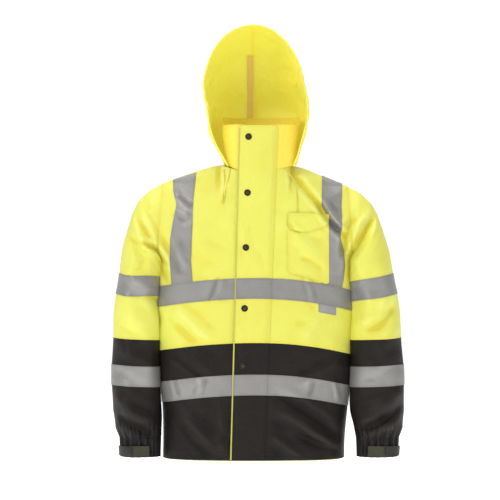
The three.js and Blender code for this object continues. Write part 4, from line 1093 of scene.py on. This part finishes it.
flapCut = {"low": 2, "top": 831, "lift": 5.0, "tail": 0.167, "wall": 1.2, "corner": 9, "snapTop": 804,
           "snapGap": 143.25,
           "snapX": -36, "snapRun": 0.0253, "snapSettle": (-4, 4, 7.5, 4.3, 1.5)}


def collarReach(z, x):
    rise = (z - topHeight("front", x)) / neckCut["collar"]
    return neckCut["half"] + neckCut["flare"] * np.maximum(rise, -0.5)


def collarFront(x, z):
    share = np.minimum(0.999, np.abs(x) / collarReach(z, x))
    return np.stack([x, -frontDepth(z) * (1 - share**4) ** 0.25, z + 0 * x], -1)


def closureSpot(x, z):
    # Points on the jacket's front or, higher up, on the collar, with their outward directions
    x, z = np.broadcast_arrays(np.asarray(x, float), np.asarray(z, float))
    body, bodyNormal = skin("front", x, np.minimum(z, topHeight("front", x) - 2))
    high = collarFront(x, z)
    slope = collarFront(x + 1, z) - collarFront(x - 1, z)
    highNormal = unit(np.cross(slope, np.array([0, 0.053, 1.0]) + np.zeros_like(slope)))
    rise = smooth((z - topHeight("front", x) + 12) / 14)[..., None]
    low = z < topHeight("front", x) - 2
    point = np.where(low[..., None], body, high)
    return point, unit(lerp(bodyNormal, highNormal, rise))


def flapLift(x, z):
    share = (x - freeEdgeX(z)) / (sewnX(z) - freeEdgeX(z))
    return lerp(flapCut["lift"], 0.4, smooth((share - 1 + flapCut["tail"]) / flapCut["tail"]))


def flapGrid(low, high, extra=0.0, left=0.0, right=0.0, spacing=3.4, columns=26, arch=True):
    rows = max(3, int((high - low) / spacing))
    z = np.linspace(low, high, rows)[:, None]
    t = np.linspace(0, 1, columns)[None]
    x = lerp(freeEdgeX(z) + left, sewnX(z) - right, t)
    if arch:
        z = archedHeight(z + 0 * x, x)
        x = lerp(freeEdgeX(z) + left, sewnX(z) - right, t)
    point, normal = closureSpot(x, z)
    wave = 1.1 * np.sin(z / 47 + 1) * smooth((30 - (x - freeEdgeX(z))) / 30) * smooth((700 - z) / 60)
    snapHold = np.min([np.abs(z - (flapCut["snapTop"] - flapCut["snapGap"] * i)) for i in range(5)], axis=0)
    puff = 0.9 * smooth(snapHold / 50) * np.sin(math.pi * t) * (z < 780)
    return settle(lifted(point, normal, flapLift(x, z) + flapCut["wall"] + extra + wave + puff)), normal


def makeFlap():
    centre = (0, 0, None)
    pieces = (("storm_flap_lower", flapCut["low"], bandCut["seam"], "black"),
              ("storm_flap_upper", bandCut["seam"], flapCut["top"], "lime"))
    for name, low, high, finish in pieces:
        points, _ = flapGrid(low, high)
        if finish == "lime":
            # the top corners are rounded
            down = high - np.linspace(low, high, points.shape[0])
            drawIn(points, cornerPull(flapCut["corner"], down))
        cloth(name, points, "storm_flap", finish, [name], centre, thick=flapCut["wall"], flat="front_left_upper")
        key = "flapLime" if finish == "lime" else "flapBlack"
        sewAlong(key, points, [(4, 1, True), (9, 1, True), (12, 1, False), (3, 1, False)], centre)
        sewAlong(key, points, [(4, 0, True)] if finish == "lime" else [(8, 0, False), (3, 0, True)], centre)
    for name, bottom in (("waist_tape_flap", bandCut["waist"]), ("chest_tape_flap", bandCut["chest"])):
        points, _ = flapGrid(bottom, bottom + bandCut["width"], extra=1.3, left=1.5, right=0.6, spacing=3)
        cloth(name, points, "storm_flap", "tape", [name], centre, thick=bandCut["thick"])
        sewAlong("flapGrey", points, [(2.5, 0, False), (2.5, 0, True), (2.5, 1, False)], centre)
    # the facing turns out round the flap's free edge, as a narrow rolled edge
    z = np.linspace(flapCut["low"] + 1, flapCut["top"] - 7, 240)[:, None]
    around = np.linspace(-0.5, 1.5, 13)[None] * math.pi
    edge = freeEdgeX(z)
    point, normal = closureSpot(np.maximum(edge + 3.2, edge) + 0 * around, archedHeight(z, edge) + 0 * around)
    level = 0 * around + 0 * z
    roll = np.stack([-1.1 * np.sin(around) + 0 * z, level, level], -1)
    wave = 1.1 * np.sin(z / 47 + 1) * smooth((700 - z) / 60)
    height = flapLift(edge + 1, z) + 0.35 - 1.1 * np.cos(around) + wave
    points = settle(lifted(point, normal, height) + roll - np.array([3.0, 0, 0]))
    under = np.where(around > math.pi, (around - math.pi) / (0.5 * math.pi), 0)
    reach = np.where(around < 0, (0 - around) / (0.5 * math.pi), under) + 0 * z
    points[..., 0] += np.where(around < 0, 9.5, 1.0) * reach
    cloth("storm_flap_facing", points, "storm_flap", "facing", ["storm_flap_facing"], (-40, 0, None), thick=0.5)
    sew("flapLime", "storm_flap_upper_stitch", "storm_flap", "limeThread")
    sew("flapBlack", "storm_flap_lower_stitch", "storm_flap", "blackThread")
    sew("flapGrey", "storm_flap_tape_stitch", "storm_flap", "greyThread")


makeFlap()

# Snaps: turned caps on the flap, sockets under them on the front

# radius and height of each turn, in millimetres
snapProfile = [(0, 1.5), (2.8, 1.45), (3.8, 1.1), (4.6, 1.1), (5.7, 1.6), (7.0, 1.5), (7.9, 1.0), (8.3, 0.2),
               (8.2, -0.6)]
studProfile = [(0, 3.2), (1.7, 3.1), (2.2, 2.4), (1.9, 1.5), (4.8, 1.2), (5.9, 0.7), (6, 0.0)]


def makeTurned(name, profile, spot, normal, finish, body, centreFinish=None, centreRadius=0, sides=40):
    # A round part turned from a profile of radius and height, with its axis along normal
    up = Vector(normal).normalized()
    side = up.orthogonal().normalized()
    other = up.cross(side)
    centre = Vector(toRow(spot))
    work = bmesh.new()
    loops = []
    for radius, height in profile:
        if radius == 0:
            loops.append([work.verts.new(centre + up * height / 1000)])
            continue
        turns = (2 * math.pi * k / sides for k in range(sides))
        loops.append([work.verts.new(centre + (side * math.cos(a) + other * math.sin(a)) * radius / 1000
                                     + up * height / 1000) for a in turns])
    for first, second in zip(loops[:-1], loops[1:]):
        for k in range(sides):
            n = (k + 1) % sides
            if len(first) == 1:
                work.faces.new((first[0], second[k], second[n]))
            else:
                work.faces.new((first[k], second[k], second[n], first[n]))
    work.faces.new(list(reversed(loops[-1])))
    bmesh.ops.recalc_face_normals(work, faces=work.faces)
    mesh = bpy.data.meshes.new(f"{name}_turned")
    work.to_mesh(mesh)
    work.free()
    piece = bpy.data.objects.new(mesh.name, mesh)
    scene.collection.objects.link(piece)
    shadeSmooth(piece, 35)
    mesh.materials.append(finishes[finish])
    if centreFinish:
        mesh.materials.append(finishes[centreFinish])
        for polygon in mesh.polygons:
            if (Vector(polygon.center) - centre).length * 1000 < centreRadius:
                polygon.material_index = 1
    join(piece, body, [name])


for number in range(5):
    z = flapCut["snapTop"] - flapCut["snapGap"] * number + flapCut["snapSettle"][number]
    x = flapCut["snapX"] + flapCut["snapRun"] * z
    point, normal = closureSpot(np.array(x), np.array(z))
    grid, _ = flapGrid(z - 2, z + 2, spacing=1, columns=60)
    nearest = np.unravel_index(np.abs(grid[..., 0] - x).argmin(), grid.shape[:2])
    cap = grid[nearest]
    makeTurned(f"snap_cap_{number + 1}", snapProfile, cap + normal * 0.5, normal, "snapDark", "storm_flap", "snap", 4.3)
    stud = settle(point[None])[0]
    makeTurned(f"snap_stud_{number + 1}", studProfile, stud, normal, "snap", "jacket")
print("storm flap made")

# Zip

zipCut = {"half": 17, "low": 8, "top": 822, "lift": -1.7, "pitch": 2.4}


def makeZip():
    for side, word in ((-1, "right"), (1, "left")):
        z = np.linspace(zipCut["low"], zipCut["top"], 180)[:, None]
        x = zipX(z) + side * np.linspace(0.9, zipCut["half"], 7)[None]
        point, normal = closureSpot(x, z + 0 * x)
        points = settle(lifted(point, normal, zipCut["lift"]))
        cloth(f"zip_half_{word}", points, "jacket", "zipTape", [f"zip_half_{word}"], (0, 0, None), thick=0.6)
        bpy.ops.mesh.primitive_cube_add(size=1)
        tooth = bpy.context.active_object
        applyModifier(tooth, "BEVEL", width=0.2, segments=2)
        shape = np.array([v.co for v in tooth.data.vertices]) * [2.6, 1.7, 1.3]
        faces = [tuple(p.vertices) for p in tooth.data.polygons]
        bpy.data.objects.remove(tooth)
        heights = np.arange(zipCut["low"] + 4 + (0 if side < 0 else zipCut["pitch"] / 2), zipCut["top"] - 16,
                            zipCut["pitch"])
        spots, directions = closureSpot(zipX(heights) + side * 0.75, heights)
        spots = settle(lifted(spots, directions, zipCut["lift"] + 0.5))
        verts, toothFaces = [], []
        for spot in spots:
            n = len(verts)
            verts.extend(spot + shape)
            toothFaces += [tuple(i + n for i in face) for face in faces]
        teeth = placed(f"zip_teeth_{word}", verts, toothFaces)
        shadeSmooth(teeth, 40)
        teeth.data.materials.append(finishes["zip"])
        join(teeth, "jacket", ())


makeZip()
for name in ("zip_slider", "zip_pull"):
    for obj in [o for o in scene.objects if o.name == name or o.name.startswith(name)]:
        for holder in obj.material_slots:
            holder.material = finishes["zip"]

# Chest pocket with its lid, and the small label on the other side

pocketCut = {"in": 80, "out": 183, "low": 459, "top": 606, "lift": 2.6, "wall": 1.4, "corner": 9}
lidCut = {"in": 82, "out": 182, "low": 567, "top": 613, "lift": 5.6, "wall": 1.4, "corner": 11, "sag": 9}
labelCut = {"in": 157, "out": 201, "low": 379, "top": 402, "lift": 1.1, "wall": 0.5}


def patchGrid(cut, rows, columns, bottomCurve=0.0, tilt=0.0):
    z = np.linspace(cut["low"], cut["top"], rows)[:, None]
    t = np.linspace(0, 1, columns)[None]
    x = lerp(cut["in"], cut["out"], t) + 0 * z
    share = (cut["top"] - z) / (cut["top"] - cut["low"])
    z = z + share * (bottomCurve * (np.abs(t - 0.36) ** 1.5) * 2 + tilt * (t - 0.5))
    return x, archedHeight(z, x)


def makePocket():
    x, z = patchGrid(pocketCut, 44, 34, tilt=-16)
    t, s = (x - pocketCut["in"]) / 103, np.linspace(0, 1, 44)[:, None]
    bulge = 3.2 * np.sin(math.pi * t) ** 0.8 * np.sin(math.pi * s) ** 0.7
    point, normal = skin("front", x, z)
    points = settle(lifted(point, normal, pocketCut["lift"] + 0.6 + bulge * 0.5 * smooth((0.7 - s) / 0.3)))
    trimLow(points, pocketCut["corner"])
    cloth("chest_pocket", points, "jacket", "lime", ["chest_pocket"], thick=pocketCut["wall"], flat="front_left_upper")
    edges = [(distance, axis, fromEnd) for distance in (3, 7) for axis, fromEnd in ((0, False), (1, False), (1, True))]
    sewAlong("bodyLime", points, edges, (0, 0), skip=2)
    x, z = patchGrid(lidCut, 22, 34, bottomCurve=lidCut["sag"] * 2.2)
    point, normal = skin("front", x, z)
    s = np.linspace(0, 1, 22)[:, None]
    points = settle(lifted(point, normal, lidCut["lift"] + 1.5 * (1 - s) - 2.4 * smooth((s - 0.8) / 0.2) * 0.6))
    trimLow(points, lidCut["corner"])
    cloth("chest_pocket_flap", points, "pocket_flap", "lime", ["chest_pocket_flap"], thick=lidCut["wall"],
          flat="front_left_upper")
    edges = [(3, 0, False), (3, 1, False), (3, 1, True), (3, 0, True), (8, 0, True)]
    sewAlong("lid", points, edges, (0, 0), skip=2)
    sew("lid", "chest_pocket_flap_stitch", "pocket_flap", "limeThread")
    x, z = patchGrid(labelCut, 14, 20)
    point, normal = skin("front", x, z)
    points = trimCorners(settle(lifted(point, normal, labelCut["lift"])), 3)
    cloth("label_patch", points, "jacket", "label", ["label_patch"], thick=labelCut["wall"])
    edges = [(1.8, 0, False), (1.8, 0, True), (1.8, 1, False), (1.8, 1, True)]
    sewAlong("bodyGrey", points, edges, (0, 0), skip=1)


makePocket()
sew("bodyLime", "body_upper_stitch", "jacket", "limeThread")
sew("bodyBlack", "body_lower_stitch", "jacket", "blackThread")
sew("bodyGrey", "body_tape_stitch", "jacket", "greyThread")
print("pocket and label made")

# Collar, standing round the neck inside the hood


def signedPower(value, power):
    return np.sign(value) * np.abs(value) ** power


def necklinePoint(side, degrees, standOff, rise=0.0):
    # Round the neck from the front middle at 0 to the back middle at 180, rise 1 being the collar's top
    turn = np.radians(degrees)
    s, c = np.sin(turn), np.cos(turn)
    front = c > 0
    power = 2 / np.where(front, neckCut["frontPower"], neckCut["backPower"])
    across = np.abs(s) ** power
    reach = neckCut["half"] + neckCut["flare"] * rise + standOff
    climb = lerp(neckCut["collar"], neckCut["collarBack"], np.clip(-c, 0, 1)) * rise
    baseX = neckCut["half"] * across
    z = np.where(front, topHeight("front", baseX), topHeight("back", baseX)) + climb
    frontY = frontDepth(z) + standOff
    backY = bodyCut["backNeck"] + neckCut["backFlare"] * rise + standOff
    y = -np.where(front, frontY, backY) * signedPower(c, power)
    return np.stack([side * reach * across, y, z], -1)


def makeCollar():
    sweep = np.concatenate([-np.linspace(180, 4.5, 100), np.linspace(4.5, 180, 100)])
    right, left = sweep[:100], sweep[100:]
    rise = np.linspace(0.005, 1, 34)[:, None]
    edgeFront = lambda z, side: zipX(z) + side * 1.6
    rows = []
    for side, turns in ((-1, -right), (1, left)):
        points = necklinePoint(side, turns[None] + 0 * rise, -0.6, rise + 0 * turns[None])
        top = lerp(833.0, 857.0, smooth((turns - 66) / 40))[None]
        foot = necklinePoint(side, turns[None], -0.6, 0.0)[..., 2]
        points[..., 2] = lerp(foot, top, rise)
        points[..., 0] += (13 if side < 0 else 5) * rise * smooth((np.abs(points[..., 0]) - 34) / 50)
        front = turns < 40
        limit = edgeFront(points[..., 2], side)
        inside = (points[..., 0] * side < limit * side + 0.01) & front[None]
        points[..., 0] = np.where(inside, limit, points[..., 0])
        rows.append(points)
    backJoined = np.concatenate([rows[1], rows[0][:, 1:]], 1)
    tilt = 2.2 * ripple(backJoined[..., 0], backJoined[..., 2], 21, 70) * smooth((rise - 0.2) / 0.6)
    away = unit(backJoined * [1, 1, 0])
    points = settle(backJoined + away * tilt[..., None] * 0.4, lean=True)
    cloth("collar", points, "jacket", "collar", ["collar"], (0, 0, None), flat="front_left_upper")
    for distance in (5, 9):
        line, normal = inset(points, distance, 0, True)
        addStitches("collar", line, outwardOf(line, normal, (0, 0)))
        addStitches("collar", line, -outwardOf(line, normal, (0, 0)))
    sew("collar", "collar_stitch", "jacket", "limeThread")


makeCollar()

# Hood, standing open above the collar

hoodCut = {"apex": [(-95, 1079), (-5, 1068), (82, 1005), (126, 880), (88, 745)], "half": 127, "widest": 0.48,
           "seat": 2.1,
           "front": 47, "neckBack": 110, "casing": 1 / 12, "wall": 1.2}


def catmullRom(points, t):
    points = np.array(points, float)
    place = np.clip(t, 0, 1) * (len(points) - 1)
    i = np.minimum(place.astype(int), len(points) - 2)
    w = (place - i)[..., None]
    before, a, b = points[np.maximum(i - 1, 0)], points[i], points[i + 1]
    after = points[np.minimum(i + 2, len(points) - 1)]
    before = np.where((i == 0)[..., None], 2 * a - b, before)
    after = np.where((i == len(points) - 2)[..., None], 2 * b - a, after)
    v0, v1 = (b - before) / 2, (after - a) / 2
    return (2 * a - 2 * b + v0 + v1) * w**3 + (-3 * a + 3 * b - 2 * v0 - v1) * w**2 + v0 * w + a


def hoodPoint(side, back, down):
    # back runs from the face opening, 0, to the neck behind, 1; down from the middle seam, 0, to the neckline,
    # 1
    back, down = np.broadcast_arrays(back, down)
    standOff = hoodCut["seat"] + 3.6 * (1 - smooth(back / 0.3))
    base = necklinePoint(1, lerp(hoodCut["front"], hoodCut["neckBack"], back), standOff)
    apex = catmullRom(hoodCut["apex"], back)
    height = 1 - down**2
    widest = hoodCut["half"] * (1 - 0.3 * back**2.5)
    low = lerp(np.abs(base[..., 0]), widest, 1 - (1 - np.minimum(height, hoodCut["widest"]) / hoodCut["widest"]) ** 2)
    share = np.clip((height - hoodCut["widest"]) / (1 - hoodCut["widest"]), 0, 1)
    high = widest * np.sqrt(np.maximum(0, 1 - share**2.1))
    x = np.where(height < hoodCut["widest"], low, high)
    arch = np.stack([x, lerp(base[..., 1], apex[..., 0], height), lerp(base[..., 2], apex[..., 1], height)], -1)
    neck = necklinePoint(1, lerp(180.0, hoodCut["neckBack"], down), hoodCut["seat"])
    point = lerp(arch, neck, smooth((back - 0.7) / 0.3)[..., None]) + [0, 0, 0.5]
    return point * [side, 1, 1]


def hoodFolds(points, back, down):
    # Soft hollows and creases of the standing hood
    x, y, z = points[..., 0], points[..., 1], points[..., 2]
    calm = smooth((1 - down) / 0.12) * smooth(down / 0.1) * smooth((back - 0.03) / 0.1) * smooth((1 - back) / 0.12)
    waves = 3.0 * ripple(z, y, 31, 110) + 1.2 * ripple(y, z, 32, 46)
    sideways = unit(points - np.array([0, 10, 900]))
    creases = np.zeros_like(x)
    for y0, z0, y1, z1, width, height in ((-86, 900, 10, 800, 10, -4), (-88, 860, 30, 776, 9, 4),
                                          (-60, 980, 50, 930, 12, -4),
                                          (-40, 1020, 60, 960, 14, 3), (60, 880, 90, 780, 12, -4), (20, 840, 60, 770,
                                                                                                    10, 4)):
        length = math.hypot(y1 - y0, z1 - z0)
        along = ((y - y0) * (y1 - y0) + (z - z0) * (z1 - z0)) / length**2
        aside = ((y - y0) * (z1 - z0) - (z - z0) * (y1 - y0)) / length
        creases += height * np.exp(-((aside / width) ** 2)) * smooth((along + 0.2) / 0.4) * smooth((1.2 - along) / 0.4)
    return points + sideways * ((waves + creases) * calm)[..., None]


hoodSpan = {"start": tuple(toRow((0, 0, 736))), "end": tuple(toRow((0, 0, 876)))}
blends["hoodBlend"] = ("jacket", "hood", hoodSpan["start"], hoodSpan["end"])


def makeHood():
    centre = (0, 10, 880)
    for side, word in ((-1, "right"), (1, "left")):
        back = np.linspace(hoodCut["casing"], 1, 104)[None]
        down = (1 - (1 - np.linspace(0, 1, 128)) ** 1.15)[:, None]
        points = hoodFolds(hoodPoint(side, back, down), back + 0 * down, down + 0 * back)
        # both halves meet on the middle seam
        points[0, :, 0] = 0
        points = settle(points, lean=True)
        cloth(f"hood_{word}", points, "hoodBlend", "hood", [f"hood_{word}"], centre, thick=hoodCut["wall"],
              flat="collar")
        sewAlong("hood", points, [(4, 0, False), (4, 0, True), (9, 0, True)], centre, turn=awayFrom)
    sweep = np.concatenate([-(1 - np.linspace(0, 1, 110)), np.linspace(0, 1, 110)[1:]])
    across = np.abs(sweep)
    down = 1 - (1 - across) ** 1.15
    profile = np.linspace(-0.35, 1.1, 15)
    rows = []
    for p in profile:
        back = np.clip(p, 0, 1) * hoodCut["casing"] * np.ones_like(down)
        right = hoodPoint(-1, back, down)
        left = hoodPoint(1, back, down)
        point = np.where((sweep < 0)[:, None], right, left)
        point[np.abs(sweep) < 1e-9, 0] = 0
        inward = unit(np.array([0, 0, 890]) - point * [1, 0, 1])
        puff = 2.4 * math.sin(math.pi * min(max(p, 0), 1)) if p >= 0 else 0
        gather = 0.9 * np.sin(down * 95 + 2 * np.sin(down * 11)) * math.sin(math.pi * min(max(p, 0), 1))
        point = point - inward * (puff + gather)[:, None]
        if p < 0:
            # the edge turns in and under
            turn = -p / 0.35 * math.pi / 2
            point = point + inward * (2.6 * math.sin(turn)) + np.array([0, 1, 0]) * (9 * (1 - math.cos(turn)))
        rows.append(point)
    points = settle(np.array(rows), lean=True)
    cloth("hood_rim_casing", points, "hoodBlend", "hood", ["hood_rim_casing"], centre, thick=1.0, flat="hood_left")
    sewAlong("hood", points, [(4, 0, True), (8, 0, True)], centre, turn=awayFrom)
    sew("hood", "hood_stitch", "hoodBlend", "limeThread")
    # tape over the middle seam on the inside
    back = np.linspace(0.46, 0.93, 90)[:, None]
    reach = np.linspace(-7.5, 7.5, 9)[None]
    middle = hoodPoint(1, back, np.zeros_like(back))
    level = 0 * reach + 0 * back
    tape = middle + np.stack([reach + 0 * back, level, level], -1)
    inward = unit(np.array([0, -40, 900]) - tape * [0, 1, 1])
    tape = tape + inward * 7.5
    tape[..., 0] -= 12
    cloth("hood_seam_tape", tape, "hoodBlend", "seam", ["hood_seam_tape"], (0, 300, 900), thick=0.4)


makeHood()
print("collar and hood made")

# Hang loop inside the back of the neck

loopCut = {"half": 30, "low": 716, "top": 740, "width": 8, "lift": -3.9}


def makeHangLoop():
    t = np.linspace(0, 1, 60)
    x = lerp(-loopCut["half"], loopCut["half"], t)
    drop = loopCut["top"] - loopCut["low"] - 4
    z = loopCut["top"] - 4 - drop * (1 - np.abs(2 * t - 1) ** 2.2)
    across = np.linspace(-0.5, 0.5, 6)[:, None]
    z = z[None] + across * loopCut["width"]
    point, normal = skin("back", x[None] + 0 * z, z)
    points = settle(lifted(point, normal, loopCut["lift"] + 0 * z))
    cloth("hang_loop", points, "jacket", "loop", ["hang_loop"], thick=0.9)


makeHangLoop()

# Floor and light

stageCut = {"floor": -0.87, "radius": 12.0}


def makeStage():
    bpy.ops.mesh.primitive_circle_add(vertices=96, radius=stageCut["radius"], fill_type="NGON", location=(0, 0, 0))
    floor = bpy.context.active_object
    floor.name = floor.data.name = "floor"
    for vertex in floor.data.vertices:
        vertex.co.z = stageCut["floor"]
    material = bpy.data.materials.new("paper")
    material.use_nodes = True
    shader = material.node_tree.nodes["Principled BSDF"]
    shader.inputs["Base Color"].default_value = (0.92, 0.92, 0.92, 1)
    shader.inputs["Roughness"].default_value = 0.9
    shader.inputs["Emission Color"].default_value = (1, 1, 1, 1)
    shader.inputs["Emission Strength"].default_value = 0.66
    floor.data.materials.append(material)


lights = {"key": {"spot": (-2.4, -3.0, 2.2), "size": 1.5, "power": 74},
          "fill": {"spot": (2.6, -3.0, 0.8), "size": 2.4, "power": 15},
          "top": {"spot": (0.2, -0.6, 3.0), "size": 1.6, "power": 28}, "back": {"spot": (0, 0.9, 2.6), "size": 2.5,
                                                                                "power": 60}}


def makeLights():
    for name, given in lights.items():
        data = bpy.data.lights.new(name, "AREA")
        data.size = given["size"]
        data.energy = given["power"]
        lamp = bpy.data.objects.new(name, data)
        lamp.location = given["spot"]
        aim = Vector((0, 0.9 if name == "back" else -0.1, 0 if name != "back" else 0.2)) - Vector(given["spot"])
        lamp.rotation_euler = aim.to_track_quat("-Z", "Y").to_euler()
        scene.collection.objects.link(lamp)
    world = bpy.data.worlds.new("studio")
    world.use_nodes = True
    # the room is white to look at, and softer as a light
    backdrop = world.node_tree.nodes["Background"]
    seen = node(world.node_tree, "LightPath").outputs["Is Camera Ray"]
    world.node_tree.links.new(maths(world.node_tree, "MULTIPLY_ADD", seen, 0.64, 0.4), backdrop.inputs[1])
    backdrop.inputs[0].default_value = (1, 1, 1, 1)
    scene.world = world


makeStage()
makeLights()
print("stage and lights set")
